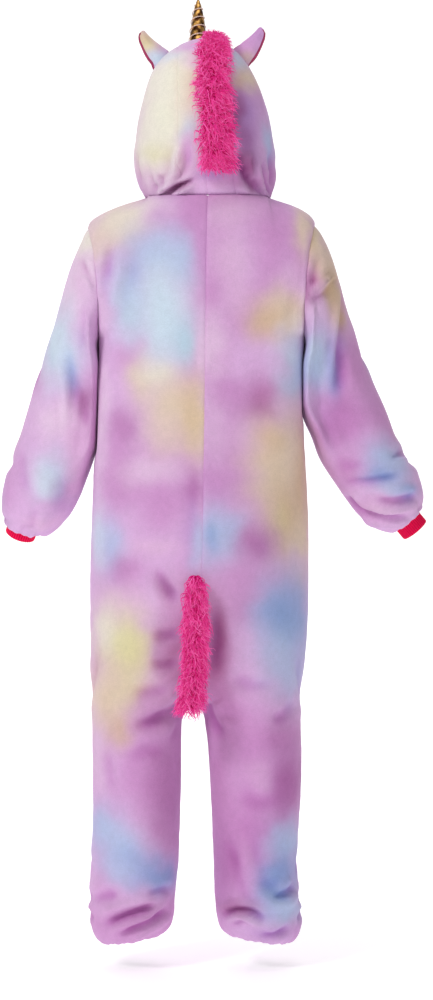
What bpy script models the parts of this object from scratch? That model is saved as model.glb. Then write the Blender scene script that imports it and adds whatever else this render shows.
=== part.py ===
"""Unicorn onesie: a hooded fleece jumpsuit with ears, horn, mane and tail, held open as it is worn.

Metres, +Z up. The front faces -Y and the wearer's left is +X. The origin is where the wearer's
shoulders carry the garment, at the middle of the neck seam. Every panel is a wall of cloth: an open
skin through rows of points, thickened inwards, 0.3 mm clear of the panels it is sewn to.
"""

import math
from collections import Counter, namedtuple

import bmesh
import bpy
from mathutils import Matrix, Vector

# Cloth and seams
CLOTH = 0.0025  # fleece with its nap
KNIT = 0.0022  # folded rib of the cuffs
SEAM_GAP = 0.0003
PRESSED = 0.6  # share of its thickness that cloth keeps along a seam
CLEAR = 0.0012  # what sits on a panel stays this far off its true curve
LEFT, RIGHT = 1, -1
BACK, FRONT = 1, -1

# Body panels: one section for each level, from the ankle hem up to the underarm. inner is the inside
# leg seam and, above the crotch, the centre seam; split goes from 1 in a leg to 0 in the trunk.
Level = namedtuple("Level", "z in_left in_right out_left out_right back front split")
BODY = (
    Level(-1.332, 0.0820, -0.0460, 0.1760, -0.1520, 0.046, -0.046, 1),
    Level(-1.328, 0.0710, -0.0370, 0.1880, -0.1610, 0.062, -0.061, 1),
    Level(-1.316, 0.0610, -0.0290, 0.1980, -0.1700, 0.075, -0.073, 1),
    Level(-1.294, 0.0550, -0.0235, 0.2030, -0.1755, 0.084, -0.0814, 1),
    Level(-1.250, 0.0520, -0.0190, 0.2050, -0.1710, 0.088, -0.0855, 1),
    Level(-1.190, 0.0470, -0.0175, 0.2030, -0.1670, 0.090, -0.0895, 1),
    Level(-1.145, 0.0455, -0.0163, 0.2012, -0.1688, 0.0925, -0.0914, 1),
    Level(-1.100, 0.0440, -0.0150, 0.2000, -0.1720, 0.094, -0.0930, 1),
    Level(-1.055, 0.0432, -0.0128, 0.1998, -0.1742, 0.0965, -0.0967, 1),
    Level(-1.010, 0.0425, -0.0105, 0.2000, -0.1755, 0.100, -0.1005, 1),
    Level(-0.945, 0.0415, -0.0050, 0.2000, -0.1740, 0.108, -0.1064, 1),
    Level(-0.916, 0.0350, 0.0025, 0.2003, -0.1730, 0.112, -0.1107, 1),
    Level(-0.898, 0.0180, 0.0180, 0.2010, -0.1728, 0.116, -0.113, 1),
    Level(-0.884, 0.0170, 0.0170, 0.2014, -0.1732, 0.119, -0.115, 0.93),
    Level(-0.850, 0.0145, 0.0145, 0.2025, -0.1765, 0.126, -0.119, 0.70),
    Level(-0.800, 0.0115, 0.0115, 0.2034, -0.1825, 0.135, -0.124, 0.33),
    Level(-0.735, 0.0070, 0.0070, 0.2048, -0.1862, 0.146, -0.130, 0),
    Level(-0.655, 0.0025, 0.0025, 0.2040, -0.1870, 0.150, -0.136, 0),
    Level(-0.570, 0.0010, 0.0010, 0.2008, -0.1862, 0.142, -0.140, 0),
    Level(-0.480, 0.0000, 0.0000, 0.1968, -0.1820, 0.130, -0.142, 0),
    Level(-0.400, -0.0010, -0.0010, 0.1935, -0.1782, 0.124, -0.142, 0),
    Level(-0.325, -0.0020, -0.0020, 0.1915, -0.1782, 0.124, -0.141, 0),
    Level(-0.250, -0.0030, -0.0030, 0.1880, -0.1795, 0.126, -0.138, 0),
)
UNDERARM = BODY[-1]
HEM_RISE = 0.016  # the hem is this much higher at the inside leg
HEM_RISE_ENDS = -1.230

# Neck seam: an oval round the middle of the neck, lower at the front
NECK_X = -0.007
NECK_HALF = 0.113
NECK_BACK = 0.085
NECK_FRONT = 0.088
NECK_Z = 0.006
NECK_BACK_DROP = 0.004
NECK_FRONT_DROP = 0.060

# Shoulders and armholes
SHOULDER_X = {LEFT: 0.2088, RIGHT: -0.1990}
SHOULDER_Z = {LEFT: -0.0468, RIGHT: -0.0436}
ARMHOLE_HALF = 0.095
UPPER_BODY = {BACK: 0.112, FRONT: -0.118}  # depth that the yoke has just under the neck seam
YOKE_ROUND = 4  # a higher power keeps the chest full until nearer the shoulder seam
SEAM_SLOPE = 0.75  # share of the shoulder's fall that is an even slope
BOXY = 0.62  # power of the section at the underarm: under 1, the body is fuller at its sides
BOXY_ENDS = -0.70
BOXY_FADES = 0.25  # share of the way from the underarm to the neck where a section is an oval again

# Columns of a body panel: the turn across the panel from its inner (0) to its side seam (180), and
# where the column meets the neck seam, from centre back. The column beside each seam is narrow.
Column = namedtuple("Column", "turn neck_deg")
NECK_END = 136.0  # beyond this turn, the top edge is the shoulder seam
ARMHOLE_LEVEL = 174.0  # and from this turn the panel is level with its armhole edge
SHOULDER_COLUMNS = (Column(148.0, None), Column(160.0, None), Column(174.0, None), Column(180.0, None))
BACK_COLUMNS = (
    Column(0.0, 0.0), Column(10.0, 2.5), Column(36.0, 14.0), Column(58.0, 26.0),
    Column(63.0, 29.0), Column(84.0, 47.0), Column(108.0, 68.0), Column(NECK_END, 90.0),
)
FRONT_COLUMNS = (
    Column(0.0, 180.0), Column(10.0, 177.5), Column(36.0, 162.0), Column(60.0, 144.0),
    Column(84.0, 126.0), Column(96.0, 117.0), Column(108.0, 108.0), Column(122.0, 99.0), Column(NECK_END, 90.0),
)
ARMHOLE_DEG = (0, 30, 60, 90, 120, 150, 176, 180)  # up the armhole, from the underarm

# Sleeves: rings from the armhole to the gathered wrist, each between a point on the outer line
# (out) and a point on the inner line (low), with its half depth front to back about middle.
Ring = namedtuple("Ring", "out_x out_z low_x low_z depth middle")
SLEEVES = {
    LEFT: (
        Ring(0.2088, -0.0468, 0.1880, -0.2500, 0.095, 0.000),
        Ring(0.2232, -0.0738, 0.1900, -0.2620, 0.101, -0.004),
        Ring(0.2394, -0.1170, 0.1912, -0.2800, 0.103, -0.009),
        Ring(0.2556, -0.1710, 0.1920, -0.3030, 0.100, -0.016),
        Ring(0.2736, -0.2304, 0.1928, -0.3340, 0.096, -0.023),
        Ring(0.2916, -0.2844, 0.1938, -0.3680, 0.092, -0.028),
        Ring(0.3132, -0.3546, 0.1952, -0.4100, 0.088, -0.031),
        Ring(0.3312, -0.4158, 0.1985, -0.4500, 0.086, -0.033),
        Ring(0.3474, -0.4680, 0.2090, -0.4920, 0.084, -0.035),
        Ring(0.3627, -0.5130, 0.2238, -0.5320, 0.080, -0.037),
        Ring(0.3654, -0.5418, 0.2435, -0.5650, 0.071, -0.040),
        Ring(0.3645, -0.5590, 0.2700, -0.5900, 0.057, -0.042),
        Ring(0.3600, -0.5700, 0.2900, -0.6000, 0.043, -0.042),
    ),
    RIGHT: (
        Ring(-0.1990, -0.0436, -0.1795, -0.2500, 0.095, 0.000),
        Ring(-0.2135, -0.0662, -0.1812, -0.2620, 0.101, -0.004),
        Ring(-0.2304, -0.1026, -0.1812, -0.2800, 0.103, -0.009),
        Ring(-0.2466, -0.1512, -0.1808, -0.3020, 0.100, -0.016),
        Ring(-0.2637, -0.2088, -0.1802, -0.3300, 0.096, -0.023),
        Ring(-0.2826, -0.2646, -0.1802, -0.3600, 0.092, -0.028),
        Ring(-0.3042, -0.3168, -0.1832, -0.3890, 0.088, -0.031),
        Ring(-0.3312, -0.3762, -0.1975, -0.4230, 0.086, -0.033),
        Ring(-0.3528, -0.4338, -0.2130, -0.4640, 0.084, -0.035),
        Ring(-0.3798, -0.4752, -0.2385, -0.5040, 0.080, -0.037),
        Ring(-0.3924, -0.5040, -0.2600, -0.5370, 0.071, -0.040),
        Ring(-0.3965, -0.5290, -0.2850, -0.5680, 0.057, -0.042),
        Ring(-0.3935, -0.5450, -0.3150, -0.5890, 0.043, -0.042),
    ),
}
# How much each ring but the first fills out against the body, as cloth does where it lies on cloth
SLEEVE_FULL = (0.12, 0.25, 0.40, 0.45, 0.45, 0.45, 0.45, 0.35, 0.20, 0.10, 0.0, 0.0)
ARMHOLE_BOW = 4  # the armhole runs nearly upright and swings out only at the shoulder
CENTRE_BOW = 1.5
SLEEVE_OFF_TOP, SLEEVE_OFF_UNDERARM = 0.0008, 0.0010  # from the armhole edge to the sleeve

# Cuffs: a rib tube on the line from top to end. The sleeve is sewn on at mouth, a share of that line.
Cuff = namedtuple("Cuff", "top end half_width half_depth mouth")
CUFFS = {
    LEFT: Cuff(Vector((0.3255, -0.032, -0.5760)), Vector((0.3345, -0.044, -0.5995)), 0.0278, 0.0250, 0.36),
    RIGHT: Cuff(Vector((-0.3610, -0.038, -0.5640)), Vector((-0.3834, -0.044, -0.5905)), 0.0262, 0.0240, 0.32),
}
GATHER_REACH = 0.008  # how far the gathered sleeve stands out round the cuff

# Hood: level rows from the neck seam up to where the crown's dome starts. Each row is an oval round
# (mid_x, mid_y); dip lowers its front, and face is the half width of the face opening there.
HoodRow = namedtuple("HoodRow", "z dip mid_x mid_y half back front face")
HOOD = (
    HoodRow(0.024, 0.045, -0.0050, -0.004, 0.1210, 0.094, -0.092, 0.028),
    HoodRow(0.045, 0.028, -0.0036, -0.008, 0.1248, 0.103, -0.101, 0.058),
    HoodRow(0.067, 0.014, -0.0012, -0.010, 0.1262, 0.108, -0.107, 0.074),
)
DOME = HOOD[-1]
DOME_HEIGHT = 0.228
DomeRow = namedtuple("DomeRow", "angle face")
CROWN_HALF = 0.047  # half width of the strip from the forehead over the crown to the neck
CORNER_DEG = 36.0  # level angle where the face edge meets the crown strip
FOREHEAD_ARCH = 5.0  # the face edge rises by this angle more at the middle of the crown strip
DOME_ROWS = (
    DomeRow(7.0, 0.080), DomeRow(16.0, 0.079), DomeRow(26.0, 0.069), DomeRow(CORNER_DEG, CROWN_HALF),
    DomeRow(46.0, CROWN_HALF), DomeRow(55.0, CROWN_HALF), DomeRow(62.5, CROWN_HALF),
)
SIDE_NECK_DEG = (26.0, 29.0, 47.0, 68.0, 90.0, 108.0, 126.0, 144.0, 162.0, 177.5)
CROWN_SHARES = ((0.0, 0.0), (0.10, 2.5), (0.55, 14.0), (0.92, 23.9), (1.0, 26.0))

# Ears: two leaves of cloth, back and lining, between an outer and an inner point of their base.
# Rows go from the base to the tip; width and lean are shares of half the base.
Ear = namedtuple("Ear", "outer inner tip")
EARS = {
    LEFT: Ear(Vector((0.0870, 0, 0.2460)), Vector((0.0605, 0, 0.2720)), Vector((0.1130, 0, 0.3090))),
    RIGHT: Ear(Vector((-0.0795, 0, 0.2490)), Vector((-0.0515, 0, 0.2770)), Vector((-0.1050, 0, 0.3150))),
}
EarRow = namedtuple("EarRow", "along width lean")
EAR_ROWS = (
    EarRow(0.0, 1.0, 0.0), EarRow(0.12, 0.95, -0.05), EarRow(0.30, 0.86, -0.13), EarRow(0.50, 0.72, -0.18),
    EarRow(0.70, 0.56, -0.17), EarRow(0.88, 0.38, -0.10), EarRow(0.97, 0.22, -0.02), EarRow(1.0, 0.08, 0.0),
)
EAR_Y = -0.012
EAR_CUP = 0.006
EAR_TWIST = 0.004  # the outer edge is turned this far to the back
EAR_ACROSS = (-1.0, -0.5, 0.0, 0.5, 1.0)

# Horn and the cord wound round it
HORN_TIP = Vector((0.0114, -0.118, 0.3870))
HORN_FOOT = Vector((0.0114, -0.062, 0.2450))
HornRow = namedtuple("HornRow", "from_tip radius")
HORN_ROWS = (
    HornRow(0.000, 0.0022), HornRow(0.004, 0.0036), HornRow(0.012, 0.0058), HornRow(0.024, 0.0086),
    HornRow(0.040, 0.0112), HornRow(0.060, 0.0134), HornRow(0.105, 0.0170), HornRow(0.200, 0.0220),
)
HORN_SIDES = 12
HALVINGS = 30  # steps of the search for where the horn's foot meets the hood
CORD_R = 0.0011
CORD_PITCH = 0.019
CORD_START, CORD_STOP = 0.010, 0.105  # metres from the tip

# Fur strips: the solid is the reach of the pile. lean is how far the pile falls to one side.
Mane = namedtuple("Mane", "angle lean half height")
MANE = (
    Mane(104, -0.020, 0.008, 0.006), Mane(97, -0.021, 0.016, 0.012), Mane(86, -0.020, 0.022, 0.017),
    Mane(70, -0.017, 0.028, 0.024), Mane(52, -0.013, 0.031, 0.028), Mane(32, -0.014, 0.031, 0.028),
    Mane(14, -0.017, 0.032, 0.028), Mane(-2, -0.020, 0.033, 0.028), Mane(-15, -0.022, 0.030, 0.026),
    Mane(-25, -0.023, 0.014, 0.014),
)
Tail = namedtuple("Tail", "x z half depth off")
TAIL = (
    Tail(0.0125, -0.664, 0.007, 0.006, 0.004), Tail(0.0125, -0.676, 0.017, 0.014, 0.004),
    Tail(0.0128, -0.705, 0.023, 0.018, 0.004), Tail(0.0138, -0.745, 0.025, 0.019, 0.005),
    Tail(0.0146, -0.785, 0.024, 0.019, 0.007), Tail(0.0165, -0.825, 0.024, 0.019, 0.012),
    Tail(0.0205, -0.862, 0.026, 0.019, 0.020), Tail(0.0250, -0.894, 0.025, 0.018, 0.026),
    Tail(0.0268, -0.913, 0.012, 0.010, 0.034),
)
MANE_SLOW = 0.30  # below the dome, a turn of the angle goes down the hood by this much less
FUR_SIDES = 10

# Front closing: a placket over the centre front, with buttons
PLACKET_HALF = 0.019
PLACKET_THICK = 0.0030
PLACKET_TOP, PLACKET_END = -0.062, -0.760
BUTTON_ZS = (-0.085, -0.205, -0.325, -0.445, -0.565, -0.685)
BUTTON_R = 0.0095
BUTTON_THICK = 0.0034
BUTTON_RIM = 0.0009
BUTTON_EDGE = 0.0027

Finish = namedtuple("Finish", "colour roughness metallic")
FINISHES = {
    "fleece": Finish((0.62, 0.36, 0.62), 0.95, 0.0),
    "rib_knit": Finish((0.72, 0.01, 0.09), 0.85, 0.0),
    "ear_lining": Finish((0.66, 0.08, 0.22), 0.90, 0.0),
    "gold_cloth": Finish((0.72, 0.46, 0.16), 0.30, 0.85),
    "cord": Finish((0.86, 0.76, 0.58), 0.50, 0.0),
    "fur": Finish((0.84, 0.05, 0.33), 0.75, 0.0),
    "buttons": Finish((0.80, 0.62, 0.80), 0.35, 0.0),
}


def clear_scene():
    for obj in list(bpy.data.objects):
        bpy.data.objects.remove(obj, do_unlink=True)


def make_materials():
    """One Principled material for each finish."""
    made = {}
    for name, finish in FINISHES.items():
        material = bpy.data.materials.new(name)
        material.use_nodes = True
        shader = material.node_tree.nodes["Principled BSDF"]
        shader.inputs["Base Color"].default_value = (*finish.colour, 1.0)
        shader.inputs["Roughness"].default_value = finish.roughness
        shader.inputs["Metallic"].default_value = finish.metallic
        made[name] = material
    return made


def mix(start, end, share):
    return start + (end - start) * share


def between(table, at, name, by="z"):
    """A named column of a table that is sorted by another one, read anywhere along that one."""
    for low, high in zip(table, table[1:]):
        start, end = getattr(low, by), getattr(high, by)
        if start <= at <= end:
            return mix(getattr(low, name), getattr(high, name), (at - start) / (end - start))
    return getattr(table[-1] if at > getattr(table[-1], by) else table[0], name)


# ---- putting objects in the scene --------------------------------------------------------------


def add_object(name, mesh, finish, collection, materials):
    obj = bpy.data.objects.new(name, mesh)
    obj.data.materials.append(materials[finish])
    collection.objects.link(obj)
    return obj


def pull_in(rows, ends):
    """Moves the named ends of a skin half a seam gap in along its own lines."""
    rows = [[point.copy() for point in row] for row in rows]
    half = SEAM_GAP / 2
    for row in rows:
        for end, near, far in (("first", 0, 1), ("last", -1, -2)):
            step = row[far] - row[near]
            if end in ends and step.length > half:
                row[near] += step.normalized() * half
    for end, near, far in (("bottom", 0, 1), ("top", -1, -2)):
        if end in ends:
            for k, point in enumerate(rows[near]):
                step = rows[far][k] - point
                if step.length > half:
                    point += step.normalized() * half
    return rows


def skin(rows, inside, ring=False):
    """A mesh through rows of points, its faces turned away from the point inside."""
    mesh = bpy.data.meshes.new("skin")
    shape = bmesh.new()
    grid = [[shape.verts.new(point) for point in row] for row in rows]
    wide = len(rows[0]) if ring else len(rows[0]) - 1
    for low, high in zip(grid, grid[1:]):
        for k in range(wide):
            n = (k + 1) % len(low)
            shape.faces.new((low[k], low[n], high[n], high[k]))
    bmesh.ops.remove_doubles(shape, verts=shape.verts, dist=1e-5)
    shape.normal_update()
    turned = sum(f.normal.dot(f.calc_center_median() - inside) * f.calc_area() for f in shape.faces)
    if turned < 0:
        bmesh.ops.reverse_faces(shape, faces=shape.faces)
    shape.to_mesh(mesh)
    shape.free()
    mesh.shade_smooth()
    return mesh


def cloth(name, rows, inside, put, finish="fleece", ring=False, thickness=CLOTH):
    """A wall of cloth: the open skin, thickened inwards and pressed thinner along its edges."""
    obj = put(name, skin(rows, inside, ring), finish)
    edge = border_vertices(obj.data)
    group = obj.vertex_groups.new(name="full")
    group.add([v.index for v in obj.data.vertices if v.index not in edge], 1.0, "REPLACE")
    group.add(sorted(edge), PRESSED, "REPLACE")
    wall = obj.modifiers.new("wall", "SOLIDIFY")
    wall.thickness = thickness
    wall.offset = -1
    wall.vertex_group = group.name
    return obj


def border_vertices(mesh):
    """The vertices on the edges that only one face uses."""
    counts = Counter(key for face in mesh.polygons for key in face.edge_keys)
    return {vertex for key, count in counts.items() if count == 1 for vertex in key}


def closed_loft(name, rows, put, finish):
    """A solid through closed rings, with its two ends capped."""
    mesh = bpy.data.meshes.new(name)
    shape = bmesh.new()
    grid = [[shape.verts.new(point) for point in row] for row in rows]
    for low, high in zip(grid, grid[1:]):
        for k in range(len(low)):
            n = (k + 1) % len(low)
            shape.faces.new((low[k], low[n], high[n], high[k]))
    shape.faces.new(grid[0])
    shape.faces.new(grid[-1])
    bmesh.ops.recalc_face_normals(shape, faces=shape.faces)
    shape.to_mesh(mesh)
    shape.free()
    return put(name, mesh, finish)


# ---- body --------------------------------------------------------------------------------------


def neck_point(degrees, side):
    """A point of the neck seam, from 0 at centre back, past 90 at the shoulder, to 180 in front."""
    a = math.radians(degrees)
    depth = NECK_BACK if degrees <= 90 else NECK_FRONT
    drop = NECK_BACK_DROP if degrees <= 90 else NECK_FRONT_DROP
    x = NECK_X + side * NECK_HALF * math.sin(a)
    return Vector((x, depth * math.cos(a), NECK_Z - drop * math.cos(a) ** 2))


def shoulder_point(share, side):
    """A point of the shoulder seam, from the neck (0) to the top of the armhole (1)."""
    start = neck_point(90, side)
    end = Vector((SHOULDER_X[side], 0, SHOULDER_Z[side]))
    turn = share * math.pi / 2
    fall = (1 - SEAM_SLOPE) * (1 - math.cos(turn)) + SEAM_SLOPE * share
    return Vector((mix(start.x, end.x, math.sin(turn)), 0, mix(start.z, end.z, fall)))


def share_across(turn):
    return (1 - math.cos(math.radians(turn))) / 2


def level_point(level, side, face, turn):
    """A point of a level section. Its oval is centred in a leg, and on the centre seam in the trunk."""
    inner = level.in_left if side == LEFT else level.in_right
    outer = level.out_left if side == LEFT else level.out_right
    moved = level.split * (outer - inner) / 2
    reach = outer - inner - moved
    x = mix(inner, outer, share_across(turn))
    power = mix(1.0, BOXY, max(0.0, (level.z - BOXY_ENDS) / (UNDERARM.z - BOXY_ENDS)))
    depth = level.back if face == BACK else level.front
    y = depth * max(0.0, 1 - ((x - inner - moved) / reach) ** 2) ** (power / 2)
    rise = HEM_RISE * max(0.0, (HEM_RISE_ENDS - level.z) / (HEM_RISE_ENDS - BODY[0].z))
    return Vector((x, y, level.z + rise * (outer - x) / (outer - inner)))


def chest_point(side, face, column, height):
    """A point above the underarm: height is 0 at the underarm and 1 at the neck or shoulder seam."""
    low = level_point(UNDERARM, side, face, column.turn)
    if column.turn <= NECK_END:
        top = neck_point(column.neck_deg, side)
    else:
        along = (share_across(column.turn) - share_across(NECK_END)) / (1 - share_across(NECK_END))
        top = shoulder_point(math.asin(along) * 2 / math.pi, side)
    share = share_across(column.turn)
    bow = mix(CENTRE_BOW, ARMHOLE_BOW, share ** 3)
    round_off = math.sqrt(1 - height ** YOKE_ROUND)
    armhole = face * ARMHOLE_HALF * 2 * math.sqrt(height * (1 - height)) / max(round_off, 1e-6)
    centre = mix(UNDERARM.back if face == BACK else UNDERARM.front, UPPER_BODY[face], height)
    level_share = min(1.0, share / share_across(ARMHOLE_LEVEL))
    power = mix(BOXY, 1.0, min(1.0, height / BOXY_FADES))
    section = mix(armhole, centre, (1 - level_share ** 2) ** (power / 2))
    y = top.y + (section - top.y) * round_off
    return Vector((mix(low.x, top.x, height ** bow), y, mix(low.z, top.z, height)))


def panel_rows(side, face):
    """The rows of a body panel, from the ankle hem to the neck and shoulder seams."""
    columns = (BACK_COLUMNS if face == BACK else FRONT_COLUMNS) + SHOULDER_COLUMNS
    rows = [[level_point(level, side, face, c.turn) for c in columns] for level in BODY]
    for degrees in ARMHOLE_DEG[1:]:
        rows.append([chest_point(side, face, c, share_across(degrees)) for c in columns])
    for point, above, column in zip(rows[-2], rows[-1], columns):
        if column.turn > NECK_END:
            point.z = above.z  # the panels meet flat along the shoulder
    return rows


def add_body(put):
    for face, face_name in ((BACK, "back"), (FRONT, "front")):
        for side, side_name in ((LEFT, "left"), (RIGHT, "right")):
            rows = pull_in(panel_rows(side, face), ("first", "last", "top"))
            cloth(f"{face_name}_{side_name}", rows, Vector((side * 0.09, 0, -0.6)), put)


# ---- sleeves and cuffs -------------------------------------------------------------------------


def round_the_arm():
    """Angles round a sleeve: up the back from the underarm, and down the front again."""
    return list(ARMHOLE_DEG) + [360 - a for a in reversed(ARMHOLE_DEG[1:-1])]


def sleeve_ring(ring, bow=1, full=0.0):
    """A ring of a sleeve: full is how much its lower half fills out against the body."""
    points = []
    for degrees in round_the_arm():
        share = share_across(degrees)
        x = mix(ring.low_x, ring.out_x, share ** bow)
        z = mix(ring.low_z, ring.out_z, share)
        swing = math.sin(math.radians(degrees))
        swing = math.copysign(abs(swing) ** (1 - full * (1 - share)), swing)
        points.append(Vector((x, ring.middle + ring.depth * swing, z)))
    return points


def cuff_ring(cuff, side, along, grow=0.0):
    """A ring of the cuff: along is 0 at its top and 1 at its open end."""
    axis = (cuff.end - cuff.top).normalized()
    outwards = axis.cross(Vector((0, side, 0))).normalized()
    ahead = outwards.cross(axis) * side
    centre = mix(cuff.top, cuff.end, along)
    points = []
    for degrees in round_the_arm():
        a = math.radians(degrees)
        across = outwards * -math.cos(a) * (cuff.half_width + grow)
        points.append(centre + across + ahead * math.sin(a) * (cuff.half_depth + grow))
    return points


def add_sleeve(side, side_name, put):
    rings = SLEEVES[side]
    cuff = CUFFS[side]
    rows = [sleeve_ring(rings[0], ARMHOLE_BOW)]
    rows += [sleeve_ring(ring, full=full) for ring, full in zip(rings[1:], SLEEVE_FULL)]
    for point, degrees in zip(rows[0], round_the_arm()):
        point.x += side * mix(SLEEVE_OFF_UNDERARM, SLEEVE_OFF_TOP, share_across(degrees))
    rows += [cuff_ring(cuff, side, cuff.mouth, grow) for grow in (GATHER_REACH, 2 * SEAM_GAP)]
    middle = Vector((side * 0.27, -0.01, -0.33))
    cloth(f"sleeve_{side_name}", pull_in(rows, ("bottom",)), middle, put, ring=True)
    tube = [cuff_ring(cuff, side, along) for along in (0, 0.5, 1)]
    cloth(f"cuff_{side_name}", tube, cuff.top, put, "rib_knit", ring=True, thickness=KNIT)


# ---- hood --------------------------------------------------------------------------------------


def hood_oval(row, side, turn):
    """A point of a level row of the hood: turn is 0 at centre back and pi at centre front."""
    reach = row.back - row.mid_y if turn <= math.pi / 2 else row.mid_y - row.front
    x = row.mid_x + side * row.half * math.sin(turn)
    dip = row.dip * math.cos(turn) ** 2 if turn > math.pi / 2 else 0.0
    return Vector((x, row.mid_y + reach * math.cos(turn), row.z - dip))


def dome_level(angle, face):
    """The level row of the dome at this angle above its widest level."""
    shrink = math.cos(math.radians(angle))
    return DOME._replace(
        z=DOME.z + DOME_HEIGHT * math.sin(math.radians(angle)),
        half=DOME.half * shrink,
        back=DOME.mid_y + (DOME.back - DOME.mid_y) * shrink,
        front=DOME.mid_y + (DOME.front - DOME.mid_y) * shrink,
        face=face,
    )


def dome_point(off_centre, angle, lift=0.0):
    """A point of the dome off_centre from its middle line, 0 at the back, 90 on top, 180 in front."""
    a = math.radians(angle)
    reach = DOME.back - DOME.mid_y if angle <= 90 else DOME.mid_y - DOME.front
    shrink = math.sqrt(max(0.0, 1 - (off_centre / DOME.half) ** 2))
    x, y, z = off_centre, reach * shrink * math.cos(a), DOME_HEIGHT * shrink * math.sin(a)
    out = Vector((x / DOME.half ** 2, y / reach ** 2, z / DOME_HEIGHT ** 2)).normalized()
    return Vector((DOME.mid_x + x, DOME.mid_y + y, DOME.z + z)) + out * lift


def hood_neck(side, degrees):
    """The neck seam again, one seam gap higher."""
    return neck_point(degrees, side) + Vector((0, 0, 2 * SEAM_GAP))


def hood_side_rows(side):
    """A side panel: from the crown strip's seam at the back round to the face opening."""
    shares = [(d - SIDE_NECK_DEG[0]) / (SIDE_NECK_DEG[-1] - SIDE_NECK_DEG[0]) for d in SIDE_NECK_DEG]
    rows = [[hood_neck(side, degrees) for degrees in SIDE_NECK_DEG]]
    for row in HOOD + tuple(dome_level(d.angle, d.face) for d in DOME_ROWS):
        start = math.asin(CROWN_HALF / row.half)
        end = math.pi - math.asin(row.face / row.half)
        rows.append([hood_oval(row, side, mix(start, end, share)) for share in shares])
    top = dome_point(side * CROWN_HALF, 90)
    rows.append([top.copy() for _ in shares])
    return rows


def hood_crown_rows(side):
    """Half of the crown strip: up the back, over the crown and down to the forehead edge."""
    rows = [[hood_neck(side, degrees) for _, degrees in CROWN_SHARES]]
    for row in HOOD:
        turns = [math.asin(share * CROWN_HALF / row.half) for share, _ in CROWN_SHARES]
        rows.append([hood_oval(row, side, turn) for turn in turns])
    shrink = math.sqrt(1 - (CROWN_HALF / DOME.half) ** 2)
    back = [math.degrees(math.asin(min(1.0, math.sin(math.radians(d.angle)) / shrink))) for d in DOME_ROWS]
    front = [180 - angle for angle, d in zip(back, DOME_ROWS) if d.angle >= CORNER_DEG]
    for angle in back + [90] + list(reversed(front)):
        arch = FOREHEAD_ARCH if angle == front[0] else 0.0
        turns = [angle - arch * (1 - share ** 2) for share, _ in CROWN_SHARES]
        rows.append([dome_point(side * s * CROWN_HALF, t) for t, (s, _) in zip(turns, CROWN_SHARES)])
    return rows


def add_hood(put):
    middle = Vector((0, 0, 0.12))
    for side, side_name in ((LEFT, "left"), (RIGHT, "right")):
        rows = pull_in(hood_side_rows(side), ("first",))
        split = len(HOOD) + 4  # above this row the front end is a seam too
        rows = rows[:split] + pull_in(rows[split:], ("last",))
        cloth(f"hood_side_{side_name}", rows, middle, put)
        crown = pull_in(hood_crown_rows(side), ("first", "last"))
        cloth(f"hood_crown_{side_name}", crown, middle, put)


# ---- ears, horn, mane and tail -----------------------------------------------------------------


def on_dome(x, y):
    """Height of the hood's dome over a place."""
    reach = DOME.back - DOME.mid_y if y > DOME.mid_y else DOME.mid_y - DOME.front
    left = 1 - ((x - DOME.mid_x) / DOME.half) ** 2 - ((y - DOME.mid_y) / reach) ** 2
    return DOME.z + DOME_HEIGHT * math.sqrt(max(0.0, left))


def ear_rows(ear, off):
    """Rows of one leaf from the base to the tip, off in front of or behind the ear's own middle."""
    base = mix(ear.outer, ear.inner, 0.5)
    half = (ear.inner - ear.outer) / 2
    rows = []
    for along, width, lean in EAR_ROWS:
        row = []
        for across in EAR_ACROSS:
            sideways = lean + across * width
            point = mix(base, ear.tip, along) + half * sideways
            point.y = EAR_Y + off - EAR_TWIST * sideways - EAR_CUP * (across * width) ** 2
            if along == 0:
                point.z = on_dome(point.x, point.y) + CLEAR
            row.append(point)
        rows.append(row)
    return rows


def add_ear(side, side_name, put):
    for layer, off, finish in (("back", 1, "fleece"), ("lining", -1, "ear_lining")):
        rows = ear_rows(EARS[side], off * (CLOTH + 2 * SEAM_GAP))
        middle = rows[3][2] - Vector((0, off * 0.1, 0))
        cloth(f"ear_{side_name}_{layer}", rows, middle, put, finish)


def horn_ring_point(from_tip, turn, grow=0.0, share=1.0):
    axis = (HORN_FOOT - HORN_TIP).normalized()
    sideways = Vector((1, 0, 0))
    ahead = axis.cross(sideways)
    out = sideways * math.cos(turn) + ahead * math.sin(turn)
    radius = between(HORN_ROWS, from_tip, "radius", by="from_tip")
    return HORN_TIP + axis * from_tip + out * (radius * share + grow)


def horn_foot_point(turn, share):
    """Where this line down the horn, share of the way out from its axis, comes to rest on the hood."""
    low, high = CORD_STOP / 2, HORN_ROWS[-1].from_tip
    for _ in range(HALVINGS):
        middle = (low + high) / 2
        point = horn_ring_point(middle, turn, share=share)
        if point.z > on_dome(point.x, point.y) + 2 * CLEAR:
            low = middle
        else:
            high = middle
    return horn_ring_point(low, turn, share=share)


def add_horn(put):
    turns = [2 * math.pi * k / HORN_SIDES for k in range(HORN_SIDES)]
    rows = [[horn_ring_point(row.from_tip, t) for t in turns] for row in HORN_ROWS[:-1]]
    rows += [[horn_foot_point(t, share) for t in turns] for share in (1.0, 0.65, 0.25)]
    closed_loft("horn", rows, put, "gold_cloth")


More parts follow.
